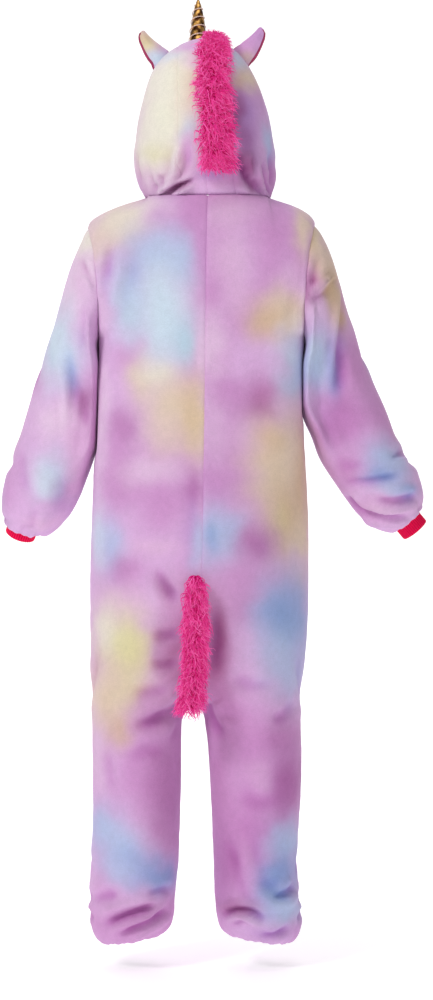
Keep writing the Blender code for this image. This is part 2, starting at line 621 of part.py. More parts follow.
def add_horn_cord(collection, materials):
    """The cord's turns follow the horn's flats, just clear of them."""
    count = round((CORD_STOP - CORD_START) / CORD_PITCH * HORN_SIDES)
    curve = bpy.data.curves.new("horn_cord", "CURVE")
    curve.dimensions = "3D"
    curve.bevel_depth = CORD_R
    curve.bevel_resolution = 1
    curve.use_fill_caps = True
    line = curve.splines.new("POLY")
    line.points.add(count)
    for k in range(count + 1):
        from_tip = CORD_START + CORD_PITCH * k / HORN_SIDES
        turn = 2 * math.pi * k / HORN_SIDES
        point = horn_ring_point(from_tip, turn, CORD_R + 2 * SEAM_GAP)
        line.points[k].co = (*point, 1.0)
    cord = bpy.data.objects.new("horn_cord", curve)
    curve.materials.append(materials["cord"])
    collection.objects.link(cord)


def mane_surface(angle, off_centre, lift):
    """Above the hood: on the dome, and below it (negative angles) on the level rows of the back."""
    if angle >= 0:
        return dome_point(off_centre, angle, lift)
    z = DOME.z + DOME_HEIGHT * math.sin(math.radians(angle)) * MANE_SLOW
    half = between(HOOD, z, "half")
    mid_y = between(HOOD, z, "mid_y")
    reach = between(HOOD, z, "back") - mid_y
    turn = math.asin(off_centre / half)
    flat = Vector((half * math.sin(turn), reach * math.cos(turn), 0))
    out = Vector((flat.x / half ** 2, flat.y / reach ** 2, 0)).normalized()
    return Vector((between(HOOD, z, "mid_x"), mid_y, z)) + flat + out * lift


def add_mane(put):
    rows = []
    for row in MANE:
        ring = []
        for k in range(FUR_SIDES):
            turn = 2 * math.pi * k / FUR_SIDES
            off_centre = row.lean + row.half * math.cos(turn)
            lift = 2 * CLEAR + row.height * (1 + math.sin(turn)) / 2
            ring.append(mane_surface(row.angle, off_centre, lift))
        rows.append(ring)
    closed_loft("mane", rows, put, "fur")


def add_tail(put):
    rows = []
    for row in TAIL:
        centre_y = between(BODY, row.z, "back") + row.off + row.depth
        ring = []
        for k in range(FUR_SIDES):
            turn = 2 * math.pi * k / FUR_SIDES
            ring.append(Vector((row.x + row.half * math.cos(turn), centre_y + row.depth * math.sin(turn), row.z)))
        rows.append(ring)
    closed_loft("tail", rows, put, "fur")


# ---- front closing -----------------------------------------------------------------------------


def front_point(x, z, lift):
    """A place on the front, moved out by lift."""
    seam = between(BODY, z, "in_left")
    if z <= UNDERARM.z:
        depth = between(BODY, z, "front")
    else:
        height = (z - UNDERARM.z) / (neck_point(180, LEFT).z - UNDERARM.z)
        depth = chest_point(LEFT, FRONT, FRONT_COLUMNS[0], height).y
    side = LEFT if x >= seam else RIGHT
    half = abs(between(BODY, z, "out_left" if side == LEFT else "out_right") - seam)
    y = depth * math.sqrt(1 - ((x - seam) / half) ** 2)
    return Vector((x, y - lift, z))


def centre_front_heights():
    """The heights of the front panels' own rows, up to the neck seam."""
    rise = neck_point(180, LEFT).z - UNDERARM.z
    chest = [UNDERARM.z + rise * (1 - math.cos(math.radians(a))) / 2 for a in ARMHOLE_DEG[1:]]
    return [level.z for level in BODY] + chest


def add_placket(put):
    """The placket lies on the front panels, moved out from them."""
    own = [z for z in centre_front_heights() if PLACKET_END < z < PLACKET_TOP]
    rows = []
    for z in [PLACKET_END] + own + [PLACKET_TOP]:
        seam = between(BODY, z, "in_left")
        shares = (-1.0, -0.5, 0.0, 0.5, 1.0)
        rows.append([front_point(seam + s * PLACKET_HALF, z, CLEAR + PLACKET_THICK) for s in shares])
    cloth("placket", rows, Vector((0, 0, -0.4)), put, thickness=PLACKET_THICK)


def add_buttons(put):
    """Round buttons with a raised rim, each with its flat side on the placket."""
    for number, z in enumerate(BUTTON_ZS, 1):
        seam = between(BODY, z, "in_left")
        shape = bmesh.new()
        sizes = {"cap_ends": True, "segments": 16, "radius1": BUTTON_R, "radius2": BUTTON_R}
        bmesh.ops.create_cone(shape, depth=BUTTON_THICK, **sizes)
        outer = max(shape.faces, key=lambda face: face.calc_center_median().z)
        bmesh.ops.inset_region(shape, faces=[outer], thickness=BUTTON_EDGE, depth=-BUTTON_RIM)
        up = front_point(seam, z + 0.01, 0) - front_point(seam, z - 0.01, 0)
        facing = Vector((0, up.z, -up.y)).normalized() * -1
        foot = front_point(seam, z, CLEAR + PLACKET_THICK + 3 * SEAM_GAP)
        turned = facing.to_track_quat("Z", "Y").to_matrix().to_4x4()
        place = Matrix.Translation(foot + facing * BUTTON_THICK / 2) @ turned
        mesh = bpy.data.meshes.new("button")
        shape.to_mesh(mesh)
        shape.free()
        button = put(f"button_{number}", mesh, "buttons")
        button.matrix_world = place


def main():
    clear_scene()
    collection = bpy.data.collections.new("unicorn_onesie")
    bpy.context.scene.collection.children.link(collection)
    materials = make_materials()

    def put(name, mesh, finish):
        return add_object(name, mesh, finish, collection, materials)

    add_body(put)
    for side, side_name in ((LEFT, "left"), (RIGHT, "right")):
        add_sleeve(side, side_name, put)
        add_ear(side, side_name, put)
    add_hood(put)
    add_horn(put)
    add_horn_cord(collection, materials)
    add_mane(put)
    add_tail(put)
    add_placket(put)
    add_buttons(put)


main()
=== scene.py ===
"""Unicorn onesie, dressed: shells of tie-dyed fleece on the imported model's own panels.

Metres, +Z up. The front faces -Y and the wearer's left is +X. Each panel is drawn again from the
sizes of its solid, finer, then creased, gathered, dyed and napped, and it replaces that solid.
"""

import logging
import math
from dataclasses import dataclass, field
from enum import Enum
from typing import NamedTuple, Sequence

import bmesh
import bpy
import numpy as np
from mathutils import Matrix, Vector


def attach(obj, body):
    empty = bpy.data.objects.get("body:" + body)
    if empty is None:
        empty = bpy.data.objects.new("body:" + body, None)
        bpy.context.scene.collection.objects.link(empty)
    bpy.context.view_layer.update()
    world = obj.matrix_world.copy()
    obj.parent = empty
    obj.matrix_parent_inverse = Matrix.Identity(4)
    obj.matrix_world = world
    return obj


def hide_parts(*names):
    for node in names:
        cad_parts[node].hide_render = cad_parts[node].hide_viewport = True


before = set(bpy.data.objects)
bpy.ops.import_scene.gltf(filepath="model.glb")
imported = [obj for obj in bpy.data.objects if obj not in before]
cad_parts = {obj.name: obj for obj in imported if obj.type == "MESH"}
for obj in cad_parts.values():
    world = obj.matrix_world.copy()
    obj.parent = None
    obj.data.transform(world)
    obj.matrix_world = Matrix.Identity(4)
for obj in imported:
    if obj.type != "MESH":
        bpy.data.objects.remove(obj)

Array = np.ndarray
LOG = logging.getLogger("onesie")

CLOTH = 0.0025  # fleece with its nap
KNIT = 0.0022
PRESSED = 0.6  # share of its thickness that cloth keeps along a seam
SEAM_GAP = 0.0003
LAP = 0.0006  # how far sewn edges reach past each other
STEP = 0.0055  # the cloth's grid


class Named(Enum):
    """A choice whose name is part of a node's name."""

    @property
    def word(self) -> str:
        """The choice as it stands in a node's name."""
        return self.name.lower()


class Side(Named):
    """The wearer's left and right, by the sign of X."""

    LEFT = 1
    RIGHT = -1


class Face(Named):
    """Back and front, by the sign of Y."""

    BACK = 1
    FRONT = -1


class View(Enum):
    """The direction that a fold is laid out from, as (plane's two axes, axis it faces, sign)."""

    BACK = (0, 2, 1, 1)
    FRONT = (0, 2, 1, -1)
    LEFT = (1, 2, 0, 1)
    RIGHT = (1, 2, 0, -1)


class Edge(Enum):
    """An edge of a panel's grid: its first or last column, its bottom or top row."""

    FIRST = 0
    LAST = 1
    BOTTOM = 2
    TOP = 3


class Hold(Enum):
    HUNG = "hung"
    GATHERED = "gathered"
    STRETCHED = "stretched"
    LAID = "laid"


class Dye(Enum):
    """The dye bath's colours, as display values."""

    LILAC = "D9AEDB"
    PINK_LILAC = "DDB4D8"
    ORCHID = "C98CC4"
    DEEP_ORCHID = "B472AC"
    ROSE = "BE79B0"
    PALE_PINK = "E5C8E2"
    BLUE = "B2C1E3"
    DEEP_BLUE = "86A0D2"
    ICE = "CCDDEB"
    AQUA = "B4D0E0"
    MIST = "C3D3E6"
    CREAM = "E9E5D4"
    BEIGE = "E0CCB4"
    TAN = "D2B58C"
    YELLOW = "DBD3A2"
    VIOLET = "B48CC8"
    # Plum is laid as dye in a few places, and mostly as painted shade in creases and painted shadow beside
    # the tail and the mane.
    PLUM_AND_PAINTED_SHADE = "93457F"

    @property
    def linear(self) -> Array:
        """The colour in linear light."""
        return linear(self.value)


(LILAC, PINK_LILAC, ORCHID, DEEP_ORCHID, ROSE, PALE_PINK, BLUE, DEEP_BLUE, ICE, AQUA, MIST, CREAM,
 BEIGE, TAN, YELLOW, VIOLET, PLUM_AND_PAINTED_SHADE) = Dye


def linear(code: str) -> Array:
    """A colour in linear light.

    Args:
        code: six hexadecimal digits of display red, green and blue.

    Returns:
        Its three linear values.
    """
    shown = np.array([int(code[k : k + 2], 16) / 255 for k in (0, 2, 4)])
    return np.where(shown <= 0.04045, shown / 12.92, ((shown + 0.055) / 1.055) ** 2.4)


def mix(start: float, end: float, share: float) -> float:
    """The value that lies a share of the way from start to end."""
    return start + (end - start) * share


def ease(values: Array, low: float, high: float) -> Array:
    """A soft step from 0 at low to 1 at high."""
    share = np.clip((np.asarray(values) - low) / (high - low), 0.0, 1.0)
    return share * share * (3 - 2 * share)


def between(table: Sequence[NamedTuple], at: float, name: str, by: str = "z") -> float:
    """A named column of a sorted table, read anywhere along it.

    Args:
        table: rows sorted by one of their columns.
        at: where to read.
        name: the column to read.
        by: the column that the rows are sorted by.

    Returns:
        The value, even between two rows and constant past the table's ends.
    """
    keys = [getattr(row, by) for row in table]
    return float(np.interp(at, keys, [getattr(row, name) for row in table]))


@dataclass(frozen=True)
class Waves:
    """Smooth seeded noise in space, from -1 to 1."""

    seed: int
    size: float
    tall: float = 1.0

    def at(self, points: Array) -> Array:
        """The noise at some points.

        Args:
            points: an array whose last axis is x, y, z.

        Returns:
            One value for each point.
        """
        cell = points / np.array((self.size, self.size, self.size * self.tall))
        low = np.floor(cell).astype(np.int64)
        share = cell - low
        share = share**3 * (share * (share * 6 - 15) + 10)
        total = np.zeros(points.shape[:-1])
        for corner in np.ndindex(2, 2, 2):
            weight = np.prod(np.where(np.array(corner) == 1, share, 1 - share), axis=-1)
            total += weight * self._lattice(low + np.array(corner))
        return total

    def _lattice(self, key: Array) -> Array:
        """The value that belongs to each corner of the lattice."""
        mixed = key[..., 0] * 73856093 ^ key[..., 1] * 19349663 ^ key[..., 2] * 83492791 ^ self.seed * 7919
        mixed = (mixed ^ (mixed >> 13)) * 1274126177 & 0x7FFFFFFF
        mixed = (mixed ^ (mixed >> 11)) * 668265263 & 0x7FFFFFFF
        return (mixed % 65537) / 32768.0 - 1.0


# ---- the fine grid -----------------------------------------------------------------------------


def stations(own: Array, step: float, near: Sequence[float] = ()) -> Array:
    """Places along a line: its own, others at most a step apart, and a few close to its ends.

    Args:
        own: the line's own places, rising from 0.
        step: the widest gap.
        near: distances from both ends where places are added.

    Returns:
        The places, sorted.
    """
    places = []
    for low, high in zip(own, own[1:]):
        count = max(1, math.ceil((high - low) / step))
        places += list(np.linspace(low, high, count, endpoint=False))
    places.append(own[-1])
    for distance in near:
        for place in (distance, own[-1] - distance):
            if min(abs(place - p) for p in places) > 0.0006:
                places.append(place)
    return np.array(sorted(places))


def smooth_line(values: Array, own: Array, at: Array, closed: bool = False, held: bool = False) -> Array:
    """A smooth line through values, read at any places.

    Args:
        values: what the line goes through, along its first axis.
        own: the place of each value.
        at: the places to read.
        closed: the line runs on from its last value to its first.
        held: the line never swings past its values.

    Returns:
        The values read, along the first axis.
    """
    if closed:
        turn = own[-1]
        values = np.concatenate([values[-3:-1], values, values[1:3]])
        own = np.concatenate([own[-3:-1] - turn, own, own[1:3] + turn])
    gaps = np.diff(own)
    shape = (-1,) + (1,) * (values.ndim - 1)
    slopes = np.diff(values, axis=0) / gaps.reshape(shape)
    before, after = gaps[:-1].reshape(shape), gaps[1:].reshape(shape)
    inner = (slopes[:-1] * after + slopes[1:] * before) / (before + after)
    if held:
        limit = 3 * np.minimum(np.abs(slopes[:-1]), np.abs(slopes[1:]))
        inner = np.where(slopes[:-1] * slopes[1:] <= 0, 0.0, np.clip(inner, -limit, limit))
    tangents = np.concatenate([slopes[:1], inner, slopes[-1:]])
    cell = np.clip(np.searchsorted(own, at, side="right") - 1, 0, len(gaps) - 1)
    gap = gaps[cell].reshape(shape)
    share = ((at - own[cell]) / gaps[cell]).reshape(shape)
    low, high = values[cell], values[cell + 1]
    rise, fall = tangents[cell] * gap, tangents[cell + 1] * gap
    square, cube = share**2, share**3
    start = (2 * cube - 3 * square + 1) * low + (cube - 2 * square + share) * rise
    return start + (3 * square - 2 * cube) * high + (cube - square) * fall


@dataclass
class Panel:
    """A fine grid on a piece of cloth, drawn through the rows of points of its solid.

    Attributes:
        rows: the solid's rows of points.
        inside: a point on the cloth's inner side.
        closed: the rows are rings.
        step: the grid's size.
        near: how close to its edges the grid has extra lines.
    """

    rows: Sequence[Sequence[Vector]]
    inside: Sequence[float]
    closed: bool = False
    step: float = STEP
    near: Sequence[float] = (0.0014, 0.0032)
    points: Array = field(init=False)
    rest: Array = field(init=False)
    out: Array = field(init=False)
    reach: dict[Edge, Array] = field(init=False)

    def __post_init__(self) -> None:
        """Draws the grid and measures it."""
        coarse = np.array([[tuple(p) for p in row] for row in self.rows])
        if self.closed:
            coarse = np.concatenate([coarse, coarse[:, :1]], axis=1)
        across = np.linalg.norm(np.diff(coarse, axis=1), axis=2).mean(axis=0)
        along = np.linalg.norm(np.diff(coarse, axis=0), axis=2).mean(axis=1)
        across = np.concatenate([[0.0], np.cumsum(np.maximum(across, 1e-5))])
        along = np.concatenate([[0.0], np.cumsum(np.maximum(along, 1e-5))])
        columns = stations(across, self.step, () if self.closed else self.near)
        rows = stations(along, self.step, self.near)
        fine = smooth_line(np.swapaxes(coarse, 0, 1), across, columns, self.closed)
        self.points = smooth_line(np.swapaxes(fine, 0, 1), along, rows, held=True)
        if self.closed:
            self.points = self.points[:, :-1]
        self.rest = self.points.copy()
        self.measure()

    def measure(self) -> None:
        """Works out the way outwards at each point, and each point's distance from the edges."""
        if self.closed:
            across = np.roll(self.points, -1, axis=1) - np.roll(self.points, 1, axis=1)
        else:
            across = np.gradient(self.points, axis=1)
        along = np.gradient(self.points, axis=0)
        normal = np.cross(across, along)
        size = np.linalg.norm(normal, axis=2, keepdims=True)
        for row in (0, -1):
            if size[row].mean() < 1e-9:
                normal[row], size[row] = normal[row - 1 if row else 1], size[row - 1 if row else 1]
        normal /= np.maximum(size, 1e-12)
        self.turned = float((normal * (self.points - np.array(self.inside))).sum()) < 0
        self.out = -normal if self.turned else normal
        steps = np.linalg.norm(np.diff(self.rest, axis=1), axis=2)
        self.across = np.concatenate([np.zeros((len(steps), 1)), np.cumsum(steps, axis=1)], axis=1)
        steps = np.linalg.norm(np.diff(self.rest, axis=0), axis=2)
        rise = np.concatenate([np.zeros((1, steps.shape[1])), np.cumsum(steps, axis=0)])
        self.reach = {
            Edge.FIRST: self.across,
            Edge.LAST: self.across[:, -1:] - self.across,
            Edge.BOTTOM: rise,
            Edge.TOP: rise[-1:] - rise,
        }
        if self.closed:
            self.reach[Edge.FIRST] = self.reach[Edge.LAST] = np.full_like(rise, 1.0)

    def push(self, amount: Array) -> None:
        """Moves the grid outwards.

        Args:
            amount: how far, for each point.
        """
        self.points = self.points + self.out * amount[..., None]

    def facing(self, view: View) -> Array:
        """How far each point faces a view, from 0 to 1."""
        return ease(self.out[..., view.value[2]] * view.value[3], -0.02, 0.35)


# ---- what shapes the cloth ---------------------------------------------------------------------


class Fold(NamedTuple):
    """A given crease: a trough, or a ridge where depth is below 0.

    path is in the plane of its view. banks is how high the cloth stands up beside it, as a share of
    depth, and lean moves that to the left (-1) or right (1) of the path. fade is the share of the
    path over which each end dies out.
    """

    path: tuple[tuple[float, float], ...]
    depth: float
    width: float
    banks: float = 0.45
    lean: float = 0.0
    fade: tuple[float, float] = (0.35, 0.35)

    def of(self, panel: Panel, view: View, seed: int) -> Array:
        """The fold's height over a panel.

        Args:
            panel: the cloth.
            view: where the fold is laid out from.
            seed: makes its width and depth uneven.

        Returns:
            How far each point moves outwards.
        """
        first, second = view.value[0], view.value[1]
        flat = panel.rest[..., (first, second)].reshape(-1, 2)
        own = np.linspace(0, 1, len(self.path))
        line = smooth_line(np.array(self.path), own, np.linspace(0, 1, 26))
        margin = self.width * 4
        near = np.all((flat > line.min(axis=0) - margin) & (flat < line.max(axis=0) + margin), axis=1)
        height = np.zeros(len(flat))
        if not near.any():
            return height.reshape(panel.rest.shape[:2])
        places = flat[near]
        start, leg = line[:-1], np.diff(line, axis=0)
        length = np.linalg.norm(leg, axis=1)
        ahead = places[:, None, :] - start[None]
        share = np.clip((ahead * leg).sum(axis=2) / length**2, 0, 1)
        off = ahead - share[..., None] * leg[None]
        distance = np.linalg.norm(off, axis=2)
        best = distance.argmin(axis=1)
        row = np.arange(len(places))
        across = distance[row, best]
        turn = leg[best, 0] * off[row, best, 1] - leg[best, 1] * off[row, best, 0]
        done = np.concatenate([[0.0], np.cumsum(length)])
        along = (done[best] + share[row, best] * length[best]) / done[-1]
        wander = Waves(seed, 0.35).at(np.stack([along, along * 0, along * 0 + seed * 0.77], axis=-1))
        width = self.width * (1 + 0.25 * wander)
        shape = np.exp(-((across / width) ** 2))
        side = np.where(turn > 0, 1 - self.lean, 1 + self.lean)
        bank = self.banks * side * np.exp(-(((across / width - 1.9) / 1.05) ** 2))
        strength = np.ones_like(along)
        for place, fade in ((along, self.fade[0]), (1 - along, self.fade[1])):
            if fade > 0:
                strength *= ease(place, 0.0, fade)
        height[near] = self.depth * (1 + 0.3 * wander) * strength * (bank - shape)
        return height.reshape(panel.rest.shape[:2])


def folds(*rows: tuple) -> tuple[Fold, ...]:
    """Folds from rows of a table.

    Args:
        rows: a path, depth and width in millimetres, and then what a fold has after these.

    Returns:
        The folds, in metres.
    """
    laid = []
    for path, depth, width, *others in rows:
        laid.append(Fold(tuple((x / 1000, z / 1000) for x, z in path), depth / 1000, width / 1000, *others))
    return tuple(laid)


FoldGroups = Sequence[tuple[View, tuple[Fold, ...]]]


def creased(panel: Panel, groups: FoldGroups, seed: int) -> Array:
    """All of a piece's folds over a panel.

    Args:
        panel: the cloth.
        groups: folds by the view that they are laid out from.
        seed: the first fold's, and the others' follow.

    Returns:
        How far each point moves outwards.
    """
    height = np.zeros(panel.rest.shape[:2])
    for view, group in groups:
        facing = panel.facing(view)
        for fold in group:
            height += fold.of(panel, view, seed) * facing
            seed += 1
    return height


@dataclass(frozen=True)
class Seam:
    """A sewn edge: the cloth dips to it, and puffs a little beside it."""

    edge: Edge
    depth: float = 0.0011
    width: float = 0.0024
    pucker: float = 0.0006
    spacing: float = 0.017

    def of(self, panel: Panel) -> Array:
        """How far each point of the panel moves outwards."""
        away = panel.reach[self.edge]
        ripple = Waves(31, self.spacing).at(panel.rest)
        puff = self.pucker * (0.6 + ripple) * np.exp(-(((away - 0.007) / 0.005) ** 2))
        return puff - self.depth * np.exp(-((away / self.width) ** 2))


def stitched(panel: Panel, edges: Sequence[Edge]) -> Array:
    """The seams along some edges of a panel, where two meet only the stronger."""
    seams = np.stack([Seam(edge).of(panel) for edge in edges])
    strongest = np.abs(seams).argmax(axis=0)[None]
    return np.take_along_axis(seams, strongest, axis=0)[0]


@dataclass(frozen=True)
class Gathers:
    """Pleats that run off an edge drawn in by elastic or a cuff."""

    edge: Edge
    depth: float
    spacing: float
    reach: float
    seed: int

    def of(self, panel: Panel) -> Array:
        """How far each point of the panel moves outwards."""
        away = panel.reach[self.edge]
        row = 0 if self.edge is Edge.BOTTOM else -1
        edge = panel.rest[row]
        steps = np.linalg.norm(np.diff(edge, axis=0), axis=1)
        place = np.concatenate([[0.0], np.cumsum(steps)])
        drift = Waves(self.seed, 0.05).at(edge) * 1.6
        phase = 2 * math.pi * place / self.spacing + drift
        slip = Waves(self.seed + 1, 0.06).at(panel.rest) * 1.3
        fine = np.sin(phase[None] + slip) * np.exp(-((away / (0.45 * self.reach)) ** 2))
        wide = np.sin(phase[None] / 2.3 + 1.7 * slip + 1)
        wide *= np.exp(-(((away - 0.3 * self.reach) / (0.6 * self.reach)) ** 2))
        uneven = 0.75 + 0.5 * Waves(self.seed + 2, 0.045).at(panel.rest)
        return self.depth * uneven * (0.55 * fine + 0.75 * wide)


@dataclass(frozen=True)
class Hem:
    """A turned hem: a line of stitches that pulls in, a width from the edge, and a fuller edge."""

    edge: Edge
    width: float = 0.014
    depth: float = 0.0011
    stitch: float = 0.0026
    full: float = 0.0008

    def of(self, panel: Panel) -> Array:
        """How far each point of the panel moves outwards."""
        away = panel.reach[self.edge]
        line = -self.depth * np.exp(-(((away - self.width) / self.stitch) ** 2))
        return line + self.full * np.exp(-(((away - self.width / 2) / (self.width * 0.33)) ** 2))


def slack(panel: Panel, amount: float, seed: int) -> Array:
    """The cloth's own uneven hang.

    Args:
        panel: the cloth.
        amount: how far its widest waves stand out.
        seed: chooses the waves.

    Returns:
        How far each point moves outwards.
    """
    wide = Waves(seed, 0.105, 1.7).at(panel.rest)
    middle = Waves(seed + 1, 0.046, 1.5).at(panel.rest)
    small = Waves(seed + 2, 0.019, 1.2).at(panel.rest)
    return amount * (wide + 0.36 * middle + 0.10 * small)


PARTING = {Side.LEFT: -0.470, Side.RIGHT: -0.405}  # where a sleeve and the trunk part


def pressed(panel: Panel, sign: int, amount: float) -> Array:
    """How far cloth wells up beside the line where a sleeve and the trunk press on each other.

    Args:
        panel: the cloth.
        sign: the way along X that the other piece lies.
        amount: how far it wells up.

    Returns:
        How far each point moves along Y, to the back or the front as it faces.
    """
    turned = panel.out[..., 0] * sign
    swell = ease(turned, 0.10, 0.60) * np.clip(panel.out[..., 1] / 0.2, -1.0, 1.0)
    z = panel.rest[..., 2]
    return amount * swell * ease(z, -0.50, -0.42) * (1 - ease(z, -0.24, -0.15))


def tucked(panel: Panel, sign: int) -> Array:
    """How much of the way a sleeve sinks into the trunk's side, and the side gives way to it.

    Args:
        panel: the cloth.
        sign: the way along X that the other piece lies.

    Returns:
        The share of it at each point.
    """
    y, z = panel.rest[..., 1], panel.rest[..., 2]
    share = ease(panel.out[..., 0] * sign, 0.10, 0.50) * ease(y, -0.09, -0.04)
    side = Side.LEFT if panel.rest[..., 0].mean() > 0 else Side.RIGHT
    if sign == side.value:
        share = share * (1 - ease(y, 0.020, 0.045))
    parting = PARTING[side]
    return share * ease(z, parting, parting + 0.045) * (1 - ease(z, -0.30, -0.255))


# ---- dye ---------------------------------------------------------------------------------------


class Spot(NamedTuple):
    """A soft blotch of colour, an ellipse as it is seen from the back or front. Most are dye; the tables note
    those that are painted shade, shadow and highlight.
    """

    dye: Dye
    x: float
    z: float
    across: float
    up: float
    strength: float = 0.9
    turn: float = 0.0


def spots(*rows: tuple) -> tuple[Spot, ...]:
    """Blotches from rows of a table.

    Args:
        rows: a dye, then x, z, across and up in millimetres, the strength in per cent, and the turn
            in degrees where there is one.

    Returns:
        The blotches, in metres and shares.
    """
    return tuple(Spot(dye, x / 1000, z / 1000, across / 1000, up / 1000, strength / 100, *turn)
                 for dye, x, z, across, up, strength, *turn in rows)


@dataclass(frozen=True)
class DyeBath:
    """The dye of a piece: blotches over a ground, for what faces back and what faces front, some of them
    painted shade, shadow and highlight.

    Attributes:
        back: blotches on what faces back, in the order that they are laid.
        front: the same for what faces front.
        seed: makes their edges uneven.
        middle: the depth where back changes to front.
        blend: over how much depth it changes.
    """

    back: tuple[Spot, ...]
    front: tuple[Spot, ...] = ()
    seed: int = 5
    middle: float = 0.0
    blend: float = 0.03

    def colours(self, points: Array) -> Array:
        """The dyed colour of each point.

        Args:
            points: the cloth's points, before it is creased.

        Returns:
            Linear red, green and blue of each.
        """
        shift = np.stack([Waves(self.seed + k, 0.075).at(points) * 0.005 for k in range(2)], axis=-1)
        shift += np.stack([Waves(self.seed + 7 + k, 0.026).at(points) * 0.006 for k in range(2)], axis=-1)
        flat = points[..., (0, 2)] + shift
        tone = ease(Waves(self.seed + 3, 0.10).at(points), -0.6, 0.7)[..., None]
        ground = Dye.LILAC.linear * (1 - tone * 0.62) + Dye.ORCHID.linear * tone * 0.62
        back = self._lay(ground, flat, self.back)
        if not self.front:
            return back
        share = ease(points[..., 1] - self.middle, -self.blend, self.blend)[..., None]
        return back * share + self._lay(ground, flat, self.front) * (1 - share)

    @staticmethod
    def _lay(ground: Array, flat: Array, blotches: tuple[Spot, ...]) -> Array:
        """Lays blotches over the ground, one after another."""
        colour = ground
        for spot in blotches:
            x, z = flat[..., 0] - spot.x, flat[..., 1] - spot.z
            cos, sin = math.cos(math.radians(spot.turn)), math.sin(math.radians(spot.turn))
            across = (x * cos + z * sin) / spot.across
            up = (z * cos - x * sin) / spot.up
            cover = spot.strength * np.exp(-0.85 * (across**2 + up**2) ** 1.15)
            colour = colour + (spot.dye.linear - colour) * cover[..., None]
        return colour


def painted_fold_shading(colours: Array, height: Array) -> Array:
    """Painted shade in the creases and painted highlight on the ridges, laid over the dye.

    Args:
        colours: linear red, green and blue of each point.
        height: how far each point was moved outwards.

    Returns:
        The colours, darker in the creases and paler on the ridges.
    """
    low = np.clip(-height / 0.008, 0.0, 1.0)[..., None]
    high = np.clip(height / 0.008, 0.0, 1.0)[..., None]
    return colours ** (1 + 0.55 * low - 0.10 * high)


# ---- finishes ----------------------------------------------------------------------------------


class Nodes:
    """Builds a material's node tree in few words."""

    def __init__(self, name: str) -> None:
        """Starts a material with its own shader.

        Args:
            name: the material's name.
        """
        self.material = bpy.data.materials.new(name)
        self.material.use_nodes = True
        self.tree = self.material.node_tree
        self.shader = self.tree.nodes["Principled BSDF"]

    def add(self, kind: str, **settings: str) -> bpy.types.Node:
        """Adds a node.

        Args:
            kind: the node's type.
            settings: its attributes.

        Returns:
            The node.
        """
        node = self.tree.nodes.new(kind)
        for key, value in settings.items():
            setattr(node, key, value)
        return node

    def link(self, source: bpy.types.NodeSocket, target: bpy.types.NodeSocket) -> None:
        """Joins two sockets."""
        self.tree.links.new(source, target)

    def feed(self, name: str, source: bpy.types.NodeSocket) -> None:
        """Joins a socket to one of the shader's own."""
        self.link(source, self.shader.inputs[name])

    def set(self, **values: object) -> None:
        """Sets the shader's own sockets, under their names with underscores."""
        for key, value in values.items():
            self.shader.inputs[key.replace("_", " ")].default_value = value

    def place(self, scale: tuple[float, float, float] = (1.0, 1.0, 1.0)) -> bpy.types.NodeSocket:
        """The piece's own coordinates, stretched."""
        where = self.add("ShaderNodeTexCoord")
        mapping = self.add("ShaderNodeMapping")
        mapping.inputs["Scale"].default_value = scale
        self.link(where.outputs["Object"], mapping.inputs["Vector"])
        return mapping.outputs["Vector"]

    def noise(self, scale: float, detail: float, place: bpy.types.NodeSocket) -> bpy.types.NodeSocket:
        """A noise texture's value."""
        node = self.add("ShaderNodeTexNoise")
        node.inputs["Scale"].default_value = scale
        node.inputs["Detail"].default_value = detail
        self.link(place, node.inputs["Vector"])
        return node.outputs["Fac"]

    def span(self, value: bpy.types.NodeSocket, low: float, high: float) -> bpy.types.NodeSocket:
        """A texture's value from its usual 0.3 to 0.7, brought to low to high."""
        node = self.add("ShaderNodeMapRange")
        for key, number in (("From Min", 0.3), ("From Max", 0.7), ("To Min", low), ("To Max", high)):
            node.inputs[key].default_value = number
        self.link(value, node.inputs["Value"])
        return node.outputs["Result"]

    def scaled(self, colour: bpy.types.NodeSocket, value: bpy.types.NodeSocket) -> bpy.types.NodeSocket:
        """A colour made lighter or darker by a value."""
        node = self.add("ShaderNodeVectorMath", operation="SCALE")
        self.link(colour, node.inputs[0])
        self.link(value, node.inputs["Scale"])
        return node.outputs["Vector"]

    def blend(self, share: bpy.types.NodeSocket, low: Array, high: Array) -> bpy.types.NodeSocket:
        """A colour from low to high by a share."""
        node = self.add("ShaderNodeMix", data_type="RGBA")
        self.link(share, node.inputs["Factor"])
        node.inputs[6].default_value = (*low, 1.0)
        node.inputs[7].default_value = (*high, 1.0)
        return node.outputs[2]

    def attribute(self, name: str) -> bpy.types.NodeSocket:
        """A colour kept on the mesh."""
        return self.add("ShaderNodeAttribute", attribute_name=name).outputs["Color"]

    def bump(self, *layers: tuple[bpy.types.NodeSocket, float, float]) -> None:
        """Puts bumps on the shader, each a height, a strength and a distance."""
        previous = None
        for height, strength, distance in layers:
            node = self.add("ShaderNodeBump")
            node.inputs["Strength"].default_value = strength
            node.inputs["Distance"].default_value = distance
            self.link(height, node.inputs["Height"])
            if previous is not None:
                self.link(previous, node.inputs["Normal"])
            previous = node.outputs["Normal"]
        self.link(previous, self.shader.inputs["Normal"])


